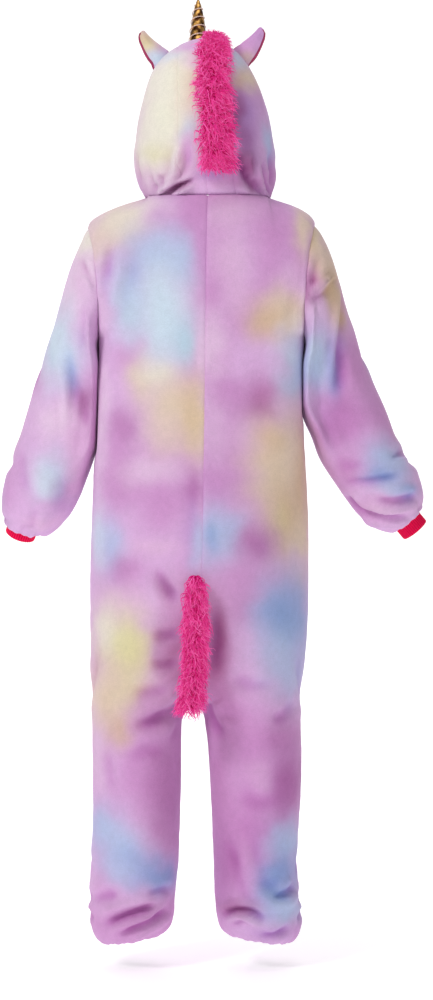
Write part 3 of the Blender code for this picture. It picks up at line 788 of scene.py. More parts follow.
@dataclass(frozen=True)
class FleeceFinish:
    """Short-napped flannel fleece, dyed by the piece's own colours, which on most pieces carry painted shade
    in the creases and painted highlight on the ridges.
    """

    name: str = "fleece"
    roughness: float = 0.93
    sheen: float = 0.12
    mottle: float = 0.050

    def make(self) -> bpy.types.Material:
        """The material."""
        nodes = Nodes(self.name)
        lying = nodes.place((1.0, 1.0, 2.2))
        nap = nodes.noise(360.0, 3.0, lying)
        clouds = nodes.noise(95.0, 2.0, nodes.place())
        colour = nodes.scaled(nodes.attribute("dye"), nodes.span(nap, 1 - self.mottle, 1 + self.mottle))
        colour = nodes.scaled(colour, nodes.span(clouds, 0.972, 1.028))
        nodes.feed("Base Color", colour)
        nodes.set(Roughness=self.roughness, Sheen_Weight=self.sheen, Sheen_Roughness=0.45)
        nodes.set(Sheen_Tint=(1.0, 0.93, 1.0, 1.0), Specular_IOR_Level=0.15)
        fine = nodes.noise(900.0, 2.0, lying)
        nodes.bump((nap, 0.42, 0.0011), (clouds, 0.30, 0.0016), (fine, 0.35, 0.0004))
        return nodes.material


@dataclass(frozen=True)
class KnitFinish:
    """Rib knit: its ribs are in the mesh and in its colours as painted shade in their valleys, its yarn in
    the bump.
    """

    name: str = "rib_knit"
    # low is the painted shade in the valleys between the ribs, high the knit's colour on their crests.
    low: str = "CC003E"
    high: str = "FA0A52"

    def make(self) -> bpy.types.Material:
        """The material."""
        nodes = Nodes(self.name)
        yarn = nodes.noise(700.0, 3.0, nodes.place((1.0, 1.0, 2.6)))
        ribs = nodes.attribute("dye")
        nodes.feed("Base Color", nodes.scaled(ribs, nodes.span(yarn, 0.86, 1.12)))
        nodes.set(Roughness=0.85, Sheen_Weight=0.08, Sheen_Roughness=0.4, Specular_IOR_Level=0.15)
        nodes.bump((yarn, 0.55, 0.0006))
        return nodes.material


@dataclass(frozen=True)
class LiningFinish:
    """Pink plush inside the ears: its own pink, darkened as painted shade for the edges that show."""

    name: str = "ear_lining"
    low: str = "8C1C48"
    high: str = "B83E6E"

    def make(self) -> bpy.types.Material:
        """The material."""
        nodes = Nodes(self.name)
        nap = nodes.noise(420.0, 3.0, nodes.place())
        nodes.feed("Base Color", nodes.blend(nap, linear(self.low), linear(self.high)))
        nodes.set(Roughness=0.9, Sheen_Weight=0.3, Sheen_Roughness=0.4)
        nodes.bump((nap, 0.5, 0.0008))
        return nodes.material


@dataclass(frozen=True)
class GoldFinish:
    """Metal-coated gold cloth, crinkled, its colour streaked from deep brown to bright gold as painted
    reflections.
    """

    name: str = "gold_cloth"
    low: str = "3C1800"
    high: str = "D09C54"

    def make(self) -> bpy.types.Material:
        """The material."""
        nodes = Nodes(self.name)
        place = nodes.place((1.0, 1.0, 0.8))
        crinkle = nodes.noise(95.0, 2.0, place)
        # Painted reflections: long streaks of deep brown and bright gold in the colour.
        painted_reflections = nodes.span(nodes.noise(130.0, 1.0, nodes.place((1.0, 1.0, 0.40))), -0.45, 1.25)
        nodes.feed("Base Color", nodes.blend(painted_reflections, linear(self.low), linear(self.high)))
        nodes.feed("Roughness", nodes.span(nodes.noise(300.0, 2.0, place), 0.24, 0.38))
        nodes.set(Metallic=0.9)
        nodes.bump((crinkle, 0.28, 0.0022), (nodes.noise(900.0, 2.0, place), 0.15, 0.0003))
        return nodes.material


@dataclass(frozen=True)
class CordFinish:
    """Pale gold twisted thread."""

    name: str = "cord"
    low: str = "E2B8A4"
    high: str = "FDE9E0"

    def make(self) -> bpy.types.Material:
        """The material."""
        nodes = Nodes(self.name)
        strand = nodes.noise(1500.0, 2.0, nodes.place())
        nodes.feed("Base Color", nodes.blend(strand, linear(self.low), linear(self.high)))
        nodes.set(Roughness=0.45, Sheen_Weight=0.2)
        nodes.bump((strand, 0.4, 0.0003))
        return nodes.material


@dataclass(frozen=True)
class FurFinish:
    """Shaggy pile, each lock in its own colour, with a painted glow: the locks give off their own colour in
    place of the light that passes between them.
    """

    name: str = "fur"
    # the strength of the fur's painted glow
    glow: float = 0.19

    def make(self) -> bpy.types.Material:
        """The material."""
        nodes = Nodes(self.name)
        strands = nodes.noise(1400.0, 2.0, nodes.place((1.0, 1.0, 0.35)))
        nodes.feed("Base Color", nodes.scaled(nodes.attribute("dye"), nodes.span(strands, 0.82, 1.14)))
        # Painted glow: the fur emits its own colour, though it is no lamp.
        nodes.feed("Emission Color", nodes.attribute("dye"))
        nodes.set(Roughness=0.7, Specular_IOR_Level=0.06, Emission_Strength=self.glow)
        nodes.bump((strands, 0.35, 0.0003))
        return nodes.material


@dataclass(frozen=True)
class ButtonFinish:
    """Pearly lilac plastic."""

    name: str = "buttons"
    low: str = "C9A9CE"
    high: str = "F0DCF0"

    def make(self) -> bpy.types.Material:
        """The material."""
        nodes = Nodes(self.name)
        swirl = nodes.noise(140.0, 4.0, nodes.place((1.0, 1.0, 1.7)))
        swirl = nodes.span(swirl, 0.0, 1.0)
        nodes.feed("Base Color", nodes.blend(swirl, linear(self.low), linear(self.high)))
        nodes.feed("Roughness", nodes.span(nodes.noise(600.0, 2.0, nodes.place()), 0.22, 0.34))
        nodes.set(Coat_Weight=0.4, Coat_Roughness=0.12)
        nodes.bump((swirl, 0.05, 0.0003))
        return nodes.material


@dataclass(frozen=True)
class FloorFinish:
    """The studio's matt white sweep."""

    name: str = "studio_white"
    glow: float = 0.385

    def make(self) -> bpy.types.Material:
        """The material."""
        nodes = Nodes(self.name)
        paper = nodes.noise(3.0, 2.0, nodes.place())
        nodes.feed("Base Color", nodes.blend(paper, np.full(3, 0.90), np.full(3, 0.93)))
        nodes.set(Roughness=1.0, Specular_IOR_Level=0.0)
        nodes.set(Emission_Strength=self.glow, Emission_Color=(1.0, 1.0, 1.0, 1.0))
        return nodes.material


# ---- making pieces -----------------------------------------------------------------------------


@dataclass
class Workroom:
    """Turns shaped panels into pieces of the model."""

    materials: dict[str, bpy.types.Material] = field(default_factory=dict)

    def cut(self) -> None:
        """Makes every finish."""
        for finish in (FleeceFinish(), KnitFinish(), LiningFinish(), GoldFinish(), CordFinish(),
                       FurFinish(), ButtonFinish(), FloorFinish()):
            self.materials[finish.name] = finish.make()

    def piece(
        self, name: str, points: Array, faces: Sequence[Sequence[int]], finish: str,
        colours: Array | None = None, nodes: Sequence[str] = (), weld: bool = False,
    ) -> bpy.types.Object:
        """Puts a mesh in the scene as a piece.

        Args:
            name: the piece's name.
            points: its vertices.
            faces: their numbers, face by face.
            finish: its material.
            colours: its dye, with any painted shade and highlight laid over it, vertex by vertex.
            nodes: the solids that it stands for.
            weld: merges vertices that lie in one place.

        Returns:
            The piece.
        """
        mesh = bpy.data.meshes.new(name)
        mesh.from_pydata(np.asarray(points).tolist(), [], [tuple(f) for f in faces])
        if colours is not None:
            # The 'dye' attribute holds the dye together with the painted shade and highlight laid over it.
            dye = mesh.color_attributes.new("dye", "FLOAT_COLOR", "POINT")
            full = np.concatenate([colours, np.ones((len(colours), 1))], axis=1)
            dye.data.foreach_set("color", full.astype(np.float32).ravel())
        if weld:
            shape = bmesh.new()
            shape.from_mesh(mesh)
            bmesh.ops.remove_doubles(shape, verts=shape.verts, dist=2e-6)
            shape.to_mesh(mesh)
            shape.free()
        mesh.materials.append(self.materials[finish])
        mesh.shade_smooth()
        mesh.update()
        obj = bpy.data.objects.new(name, mesh)
        bpy.context.scene.collection.objects.link(obj)
        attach(obj, "root")
        if nodes:
            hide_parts(*nodes)
        LOG.info("%s: %d faces", name, len(mesh.polygons))
        return obj

    def shell(
        self, name: str, panel: Panel, finish: str, colours: Array, nodes: Sequence[str],
        flat: tuple[float, float], area: float | None, hold: Hold,
        thickness: float = CLOTH, full: Sequence[Edge] = (), weld: bool = False,
    ) -> bpy.types.Object:
        """Args:
            name: the piece's name.
            panel: its shaped grid.
            finish: its material.
            colours: its dye, with any painted shade and highlight laid over it, point by point.
            nodes: the solids that it stands for.
            flat: the width and length of its cut; not used.
            area: the cut's area, where it isn't a rectangle; not used.
            hold: how it is held; not used.
            thickness: the cloth's.
            full: edges that aren't pressed thin, such as hems.
            weld: merges vertices that lie in one place.

        Returns:
            The piece.
        """
        panel.measure()
        far = np.full_like(panel.reach[Edge.TOP], 1.0)
        nearest = np.minimum.reduce([far] + [panel.reach[edge] for edge in Edge if edge not in full])
        wall = thickness * (PRESSED + (1 - PRESSED) * ease(nearest, 0.0, 0.005))
        for edge in full:
            wall = wall * (1 + 0.5 * np.exp(-((panel.reach[edge] / 0.006) ** 2)))
        inner = panel.points - panel.out * wall[..., None]
        high, wide = panel.points.shape[:2]
        numbers = np.arange(high * wide).reshape(high, wide)
        if panel.closed:
            numbers = np.concatenate([numbers, numbers[:, :1]], axis=1)
        a, b = numbers[:-1, :-1], numbers[:-1, 1:]
        d, c = numbers[1:, :-1], numbers[1:, 1:]
        back = high * wide
        quads = [np.stack([a, b, c, d], axis=-1).reshape(-1, 4)]
        quads.append(quads[0][:, ::-1] + back)
        low, top = numbers[0], numbers[-1]
        quads.append(np.stack([low[1:], low[:-1], low[:-1] + back, low[1:] + back], axis=-1))
        quads.append(np.stack([top[:-1], top[1:], top[1:] + back, top[:-1] + back], axis=-1))
        if not panel.closed:
            first, last = numbers[:, 0], numbers[:, -1]
            quads.append(np.stack([first[:-1], first[1:], first[1:] + back, first[:-1] + back], axis=-1))
            quads.append(np.stack([last[1:], last[:-1], last[:-1] + back, last[1:] + back], axis=-1))
        faces = np.concatenate(quads)
        if panel.turned:
            faces = faces[:, ::-1]
        points = np.concatenate([panel.points.reshape(-1, 3), inner.reshape(-1, 3)])
        dye = np.concatenate([colours.reshape(-1, 3)] * 2)
        obj = self.piece(name, points, faces.tolist(), finish, dye, nodes, weld)
        return obj


def sewn(rows: list[list[Vector]], ends: Sequence[Edge]) -> list[list[Vector]]:
    """Lets the named edges reach a lap further along the cloth, so that no light shows between.

    Args:
        rows: rows of points.
        ends: the edges to move.

    Returns:
        New rows.
    """
    rows = [[point.copy() for point in row] for row in rows]
    for row in rows:
        for end, near, far in ((Edge.FIRST, 0, 1), (Edge.LAST, -1, -2)):
            if end in ends:
                row[near] -= (row[far] - row[near]).normalized() * LAP
    for end, near, far in ((Edge.BOTTOM, 0, 1), (Edge.TOP, -1, -2)):
        if end in ends:
            for k, point in enumerate(rows[near]):
                point -= (rows[far][k] - point).normalized() * LAP
    return rows


def share_across(turn: float) -> float:
    """How far across a panel a turn is, from 0 at 0 degrees to 1 at 180."""
    return (1 - math.cos(math.radians(turn))) / 2


# ---- body --------------------------------------------------------------------------------------


class Level(NamedTuple):
    """A section of the body: inner and outer x of each side, depths, and 1 for legs to 0 for trunk."""

    z: float
    in_left: float
    in_right: float
    out_left: float
    out_right: float
    back: float
    front: float
    split: float


BODY = (
    Level(-1.332, 0.0820, -0.0460, 0.1760, -0.1520, 0.046, -0.046, 1),
    Level(-1.328, 0.0710, -0.0370, 0.1880, -0.1610, 0.062, -0.061, 1),
    Level(-1.316, 0.0610, -0.0290, 0.1980, -0.1700, 0.075, -0.073, 1),
    Level(-1.294, 0.0550, -0.0235, 0.2030, -0.1755, 0.084, -0.0814, 1),
    Level(-1.250, 0.0520, -0.0190, 0.2050, -0.1710, 0.088, -0.0855, 1),
    Level(-1.190, 0.0470, -0.0175, 0.2030, -0.1670, 0.090, -0.0895, 1),
    Level(-1.145, 0.0455, -0.0163, 0.2012, -0.1688, 0.0925, -0.0914, 1),
    Level(-1.100, 0.0440, -0.0150, 0.2000, -0.1720, 0.094, -0.0930, 1),
    Level(-1.055, 0.0432, -0.0128, 0.1998, -0.1742, 0.0965, -0.0967, 1),
    Level(-1.010, 0.0425, -0.0105, 0.2000, -0.1755, 0.100, -0.1005, 1),
    Level(-0.945, 0.0415, -0.0050, 0.2000, -0.1740, 0.108, -0.1064, 1),
    Level(-0.916, 0.0350, 0.0025, 0.2003, -0.1730, 0.112, -0.1107, 1),
    Level(-0.898, 0.0180, 0.0180, 0.2010, -0.1728, 0.116, -0.113, 1),
    Level(-0.884, 0.0170, 0.0170, 0.2014, -0.1732, 0.119, -0.115, 0.93),
    Level(-0.850, 0.0145, 0.0145, 0.2025, -0.1765, 0.126, -0.119, 0.70),
    Level(-0.800, 0.0115, 0.0115, 0.2034, -0.1825, 0.135, -0.124, 0.33),
    Level(-0.735, 0.0070, 0.0070, 0.2048, -0.1862, 0.146, -0.130, 0),
    Level(-0.655, 0.0025, 0.0025, 0.2040, -0.1870, 0.150, -0.136, 0),
    Level(-0.570, 0.0010, 0.0010, 0.2008, -0.1862, 0.142, -0.140, 0),
    Level(-0.480, 0.0000, 0.0000, 0.1968, -0.1820, 0.130, -0.142, 0),
    Level(-0.400, -0.0010, -0.0010, 0.1935, -0.1782, 0.124, -0.142, 0),
    Level(-0.325, -0.0020, -0.0020, 0.1915, -0.1782, 0.124, -0.141, 0),
    Level(-0.250, -0.0030, -0.0030, 0.1880, -0.1795, 0.126, -0.138, 0),
)


class Column(NamedTuple):
    """A column of a body panel: its turn across the panel, and where it meets the neck seam."""

    turn: float
    neck_deg: float | None


SHOULDER_COLUMNS = (Column(148.0, None), Column(160.0, None), Column(174.0, None), Column(180.0, None))
COLUMNS = {
    Face.BACK: (
        Column(0.0, 0.0), Column(10.0, 2.5), Column(36.0, 14.0), Column(58.0, 26.0), Column(63.0, 29.0),
        Column(84.0, 47.0), Column(108.0, 68.0), Column(136.0, 90.0),
    ),
    Face.FRONT: (
        Column(0.0, 180.0), Column(10.0, 177.5), Column(36.0, 162.0), Column(60.0, 144.0),
        Column(84.0, 126.0), Column(96.0, 117.0), Column(108.0, 108.0), Column(122.0, 99.0),
        Column(136.0, 90.0),
    ),
}

BACK_FOLDS = folds(
    (((165, -72), (167, -114), (163, -163)), 5, 10), (((146, -95), (154, -154), (160, -213)), -4.5, 11),
    (((176, -241), (174, -364), (177, -522)), 4.5, 10), (((-157, -158), (-161, -237), (-157, -334)), 3, 13),
    (((86, -649), (68, -686), (42, -719)), 6.2, 11, 0.5, -0.4),
    (((98, -776), (68, -772), (38, -767)), 5, 10), (((100, -822), (68, -825), (38, -818)), 5.6, 10),
    (((133, -880), (95, -871), (45, -876)), 4, 12),
    (((133, -939), (86, -924), (36, -901)), 7.5, 12, 0.5, 0, (0.4, 0.1)),
    (((-15, -702), (-24, -765), (-21, -822), (-4, -860)), 4.2, 12, 0.4, 0.4),
    (((-4, -897), (-16, -927), (-36, -968)), 7.5, 10, 0.5, 0, (0.05, 0.6)),
    (((-46, -839), (-85, -860), (-134, -857)), 4.2, 14),
    (((38, -906), (47, -938), (63, -976)), 6, 11, 0.5, 0, (0.05, 0.6)),
    (((-162, -888), (-141, -917), (-113, -927)), 4.2, 12),
    (((186, -973), (170, -1008), (163, -1057)), 3.6, 13), (((144, -998), (102, -980), (56, -989)), 3.2, 16),
    (((-60, -1047), (-96, -1068), (-145, -1061)), 3.2, 16),
    (((204, -1251), (176, -1239), (144, -1230)), 5.5, 9),
    (((184, -1295), (153, -1276), (119, -1263), (77, -1254)), 10.8, 8, 0.6, 0.2, (0.3, 0.2)),
    (((161, -1311), (130, -1295), (95, -1281), (59, -1262)), 10.5, 7.4, 0.6, 0, (0.35, 0.2)),
    (((105, -1235), (77, -1228), (52, -1235)), 5.5, 8),
    (((-29, -1279), (-57, -1263), (-83, -1265), (-113, -1283)), 11.5, 7, 0.7, -0.3, (0.25, 0.3)),
    (((-39, -1293), (-67, -1281), (-96, -1291)), 7, 7.4, 0.6, 0, (0.3, 0.3)),
    (((-60, -1117), (-81, -1191), (-110, -1240), (-155, -1270)), -6.8, 12, 0.6),
    (((-71, -1166), (-92, -1209), (-120, -1237)), 5, 10),
    (((-162, -1226), (-141, -1237), (-113, -1239)), 7, 7.4, 0.6, 0, (0.05, 0.5)),
    (((-96, -1304), (-124, -1307), (-155, -1293)), 9, 8),
)
FRONT_FOLDS = folds(
    (((160, -80), (150, -130), (134, -190)), 5.4, 11), (((-158, -70), (-150, -125), (-140, -180)), 5.7, 11),
    (((172, -215), (130, -262), (85, -290)), 5.4, 12), (((-166, -220), (-120, -268), (-72, -284)), 4.9, 12),
    (((150, -420), (158, -500), (150, -600)), 4.3, 13),
    (((-140, -400), (-150, -490), (-140, -590)), 4.6, 13),
    (((130, -842), (84, -862), (34, -888)), 8.1, 11, 0.5, 0, (0.4, 0.1)),
    (((-110, -840), (-60, -858), (2, -888)), 7.8, 11, 0.5, 0, (0.4, 0.1)),
    (((150, -905), (100, -915), (46, -914)), 5.7, 12), (((-125, -900), (-70, -913), (-14, -912)), 5.9, 12),
    (((70, -730), (96, -780), (130, -806)), 4.6, 14), (((-60, -740), (-90, -786), (-120, -812)), 4.6, 14),
    (((75, -1050), (110, -1066), (160, -1058)), 4.9, 13),
    (((-45, -1062), (-80, -1078), (-130, -1064)), 4.9, 13),
    (((70, -1100), (104, -1150), (150, -1205)), 4.6, 14),
    (((-35, -1110), (-70, -1165), (-112, -1215)), 4.9, 14),
    (((64, -1262), (104, -1250), (146, -1266)), 9.5, 9, 0.6, -0.2),
    (((76, -1296), (118, -1290), (160, -1300)), 6.8, 8),
    (((100, -1225), (140, -1230), (180, -1218)), 5.7, 10),
    (((-36, -1268), (-78, -1254), (-122, -1272)), 9.7, 9, 0.6, -0.2),
    (((-52, -1300), (-94, -1294), (-136, -1306)), 6.5, 8),
    (((-70, -1226), (-110, -1234), (-150, -1222)), 5.7, 10),
)
OUTER_LEG_FOLDS = folds(
    (((-50, -1240), (-10, -1252), (38, -1244)), 7, 9), (((-30, -1284), (8, -1276), (44, -1290)), 6.8, 8),
    (((-40, -1160), (0, -1182), (30, -1214)), 4.3, 12), (((60, -800), (30, -860), (-30, -910)), 4.1, 15),
)

BODY_FOLDS = {Face.BACK: (View.BACK, BACK_FOLDS), Face.FRONT: (View.FRONT, FRONT_FOLDS)}

BACK_DYE = {
    Side.LEFT: spots(
        (CREAM, 129, -24, 50, 29, 75), (BEIGE, 156, -61, 50, 43, 80), (CREAM, 154, -48, 43, 29, 45),
        (ORCHID, 77, -38, 23, 16, 60), (ORCHID, 21, -32, 29, 32, 70), (BEIGE, 186, -90, 22, 31, 60),
        (BLUE, 80, -106, 58, 49, 92), (BLUE, 40, -115, 23, 40, 75), (ORCHID, -1, -108, 14, 79, 60),
        (LILAC, 161, -147, 23, 47, 60), (BLUE, 129, -168, 36, 61, 75), (MIST, 129, -213, 31, 50, 85),
        (ICE, 64, -213, 41, 90, 92), (ICE, 80, -224, 22, 86, 80), (AQUA, 35, -259, 25, 36, 85),
        (PALE_PINK, -2, -273, 18, 58, 70), (ORCHID, 135, -287, 23, 25, 55), (BEIGE, 112, -327, 25, 36, 75),
        (CREAM, 80, -319, 32, 23, 70), (BEIGE, 52, -368, 50, 47, 90), (BEIGE, 63, -424, 40, 43, 60),
        (BEIGE, 13, -403, 23, 65, 90), (TAN, 17, -385, 22, 54, 45), (DEEP_ORCHID, 143, -413, 27, 36, 70),
        (DEEP_ORCHID, 147, -494, 27, 54, 45), (ORCHID, 156, -491, 22, 65, 50),
        # The pale pink blotch at x 186 mm and the ice one at x 187 mm, along the outer edge, are a painted
        # highlight on the side's ridge.
        (PALE_PINK, 94, -491, 47, 23, 70), (PALE_PINK, 186, -352, 16, 180, 80),
        (ICE, 187, -607, 16, 54, 75), (ORCHID, 73, -550, 45, 40, 75), (DEEP_ORCHID, 22, -522, 16, 29, 70),
        (PINK_LILAC, 91, -619, 43, 16, 75), (VIOLET, 26, -589, 14, 43, 50), (BLUE, 13, -614, 13, 40, 70),
        (BLUE, 161, -621, 22, 47, 85), (ORCHID, 133, -670, 43, 32, 60),
        (DEEP_ORCHID, 140, -652, 22, 18, 45), (PINK_LILAC, 143, -712, 43, 25, 60),
        # The plum blotches at x 59 to 66 mm lie in the seat's creases: painted crease shade.
        (PLUM_AND_PAINTED_SHADE, 66, -687, 18, 20, 40, -30), (YELLOW, 140, -793, 43, 65, 95), (CREAM, 175, -765, 29, 50, 70),
        (YELLOW, 124, -803, 27, 47, 60), (PLUM_AND_PAINTED_SHADE, 66, -800, 29, 61, 50), (BEIGE, 168, -888, 47, 61, 92),
        (TAN, 147, -944, 25, 25, 70), (YELLOW, 129, -870, 25, 36, 45), (DEEP_ORCHID, 98, -912, 29, 47, 55),
        (PLUM_AND_PAINTED_SHADE, 59, -919, 22, 25, 30), (PALE_PINK, 187, -1000, 20, 54, 60), (ORCHID, 101, -1021, 61, 72, 85),
        (DEEP_ORCHID, 77, -1011, 29, 61, 40), (DEEP_ORCHID, 70, -1091, 32, 86, 65),
        (BLUE, 175, -1119, 36, 40, 90), (BLUE, 140, -1151, 40, 32, 90, 24),
        (DEEP_BLUE, 112, -1179, 43, 25, 60, 14), (BLUE, 147, -1190, 40, 23, 70, 14),
        (DEEP_BLUE, 80, -1207, 40, 25, 85, 8), (DEEP_ORCHID, 126, -1269, 47, 16, 70, -12),
        (ORCHID, 122, -1291, 83, 40, 75),
    ),
    Side.RIGHT: spots(
        (PINK_LILAC, -46, -31, 47, 32, 75), (ORCHID, -120, -73, 40, 50, 85), (BEIGE, -176, -52, 18, 54, 85),
        (PINK_LILAC, -51, -118, 36, 47, 75), (PINK_LILAC, -57, -178, 25, 29, 60),
        (ORCHID, -11, -182, 16, 29, 60), (ORCHID, -116, -133, 29, 32, 60),
        (PINK_LILAC, -155, -147, 22, 22, 50), (BEIGE, -141, -203, 40, 36, 85),
        (TAN, -109, -224, 36, 32, 75), (CREAM, -162, -231, 22, 22, 35), (PALE_PINK, -15, -266, 25, 54, 70),
        (ICE, -155, -291, 29, 47, 85), (BLUE, -159, -319, 31, 40, 85), (LILAC, -129, -298, 22, 25, 60),
        (DEEP_ORCHID, -99, -364, 40, 40, 95), (PLUM_AND_PAINTED_SHADE, -106, -368, 23, 25, 30),
        (ROSE, -104, -347, 18, 18, 35), (ORCHID, -50, -352, 27, 25, 50), (LILAC, -148, -371, 23, 22, 50),
        (PALE_PINK, -18, -410, 25, 61, 45), (BEIGE, -127, -484, 54, 83, 92), (TAN, -120, -431, 32, 32, 60),
        (BEIGE, -159, -456, 25, 79, 50), (TAN, -173, -536, 14, 126, 70), (TAN, -145, -572, 31, 65, 85),
        (BEIGE, -169, -621, 22, 65, 85), (YELLOW, -130, -579, 18, 40, 40), (ORCHID, -15, -505, 29, 32, 35),
        (BLUE, -15, -600, 32, 47, 92), (BLUE, -50, -600, 25, 40, 75), (DEEP_BLUE, -9, -607, 14, 25, 50),
        (DEEP_ORCHID, -92, -614, 32, 36, 90), (ORCHID, -74, -673, 47, 32, 65),
        (DEEP_ORCHID, -71, -726, 29, 32, 45), (LILAC, -166, -652, 22, 25, 50),
        # The plum blotch at x -23 mm, beside the tail, is painted shadow of the tail over a crease, with
        # painted crease shade.
        (PLUM_AND_PAINTED_SHADE, -23, -782, 18, 61, 60, 4), (BLUE, -141, -772, 47, 90, 95),
        (DEEP_BLUE, -130, -730, 36, 47, 85), (DEEP_BLUE, -169, -737, 20, 61, 50),
        (BLUE, -153, -852, 25, 43, 70), (DEEP_ORCHID, -25, -888, 32, 58, 55),
        (ORCHID, -74, -958, 76, 72, 85), (DEEP_ORCHID, -39, -916, 32, 32, 40),
        (DEEP_ORCHID, -141, -951, 36, 25, 70), (PINK_LILAC, -92, -1021, 29, 32, 50),
        (DEEP_ORCHID, -152, -1035, 31, 61, 95), (ROSE, -29, -1067, 18, 72, 50),
        (ORCHID, -64, -1133, 50, 101, 85), (BLUE, -145, -1144, 36, 40, 92),
        (DEEP_BLUE, -138, -1200, 40, 36, 90, -24), (DEEP_BLUE, -127, -1242, 31, 27, 90, 30),
        (BLUE, -145, -1267, 36, 27, 90), (DEEP_ORCHID, -36, -1190, 25, 79, 60),
        # The plum blotch at x -60 mm lies in an ankle crease: painted crease shade.
        (PLUM_AND_PAINTED_SHADE, -60, -1260, 36, 14, 60, -10), (VIOLET, -120, -1306, 40, 14, 60),
    ),
}
FRONT_DYE = {
    Side.LEFT: spots(
        (LILAC, 70, -60, 60, 40, 70), (BEIGE, 150, -80, 45, 60, 80), (BLUE, 60, -160, 56, 60, 85),
        (ORCHID, 130, -190, 44, 55, 80), (ICE, 50, -240, 42, 46, 75), (TAN, 110, -320, 52, 50, 80),
        (DEEP_ORCHID, 35, -360, 38, 55, 60), (BLUE, 150, -440, 42, 70, 85), (BEIGE, 50, -480, 46, 60, 75),
        (ORCHID, 110, -570, 56, 60, 75), (YELLOW, 150, -700, 42, 60, 75), (MIST, 60, -660, 42, 60, 75),
        (ROSE, 80, -780, 56, 50, 60), (BLUE, 140, -880, 44, 60, 80), (LILAC, 90, -990, 50, 60, 70),
        (BEIGE, 165, -1030, 30, 70, 75), (ORCHID, 90, -1120, 56, 50, 70),
        (BLUE, 110, -1230, 62, 44, 85, -18),
    ),
    Side.RIGHT: spots(
        (ORCHID, -80, -80, 60, 50, 80), (TAN, -165, -90, 36, 50, 75), (PALE_PINK, -60, -170, 50, 45, 55),
        (BLUE, -130, -220, 50, 62, 85), (BEIGE, -50, -300, 50, 50, 80),
        (DEEP_ORCHID, -130, -360, 46, 40, 70), (MIST, -50, -430, 46, 56, 75), (TAN, -145, -500, 40, 64, 75),
        (ORCHID, -60, -560, 56, 56, 75), (BLUE, -120, -660, 55, 70, 85), (YELLOW, -45, -740, 40, 50, 60),
        (LILAC, -110, -800, 60, 50, 70), (ROSE, -60, -910, 46, 60, 65), (BLUE, -140, -960, 36, 70, 80),
        (BEIGE, -80, -1060, 50, 46, 75), (ORCHID, -130, -1150, 44, 56, 70), (ICE, -70, -1220, 46, 44, 70),
        (ROSE, -130, -1290, 60, 36, 60),
    ),
}


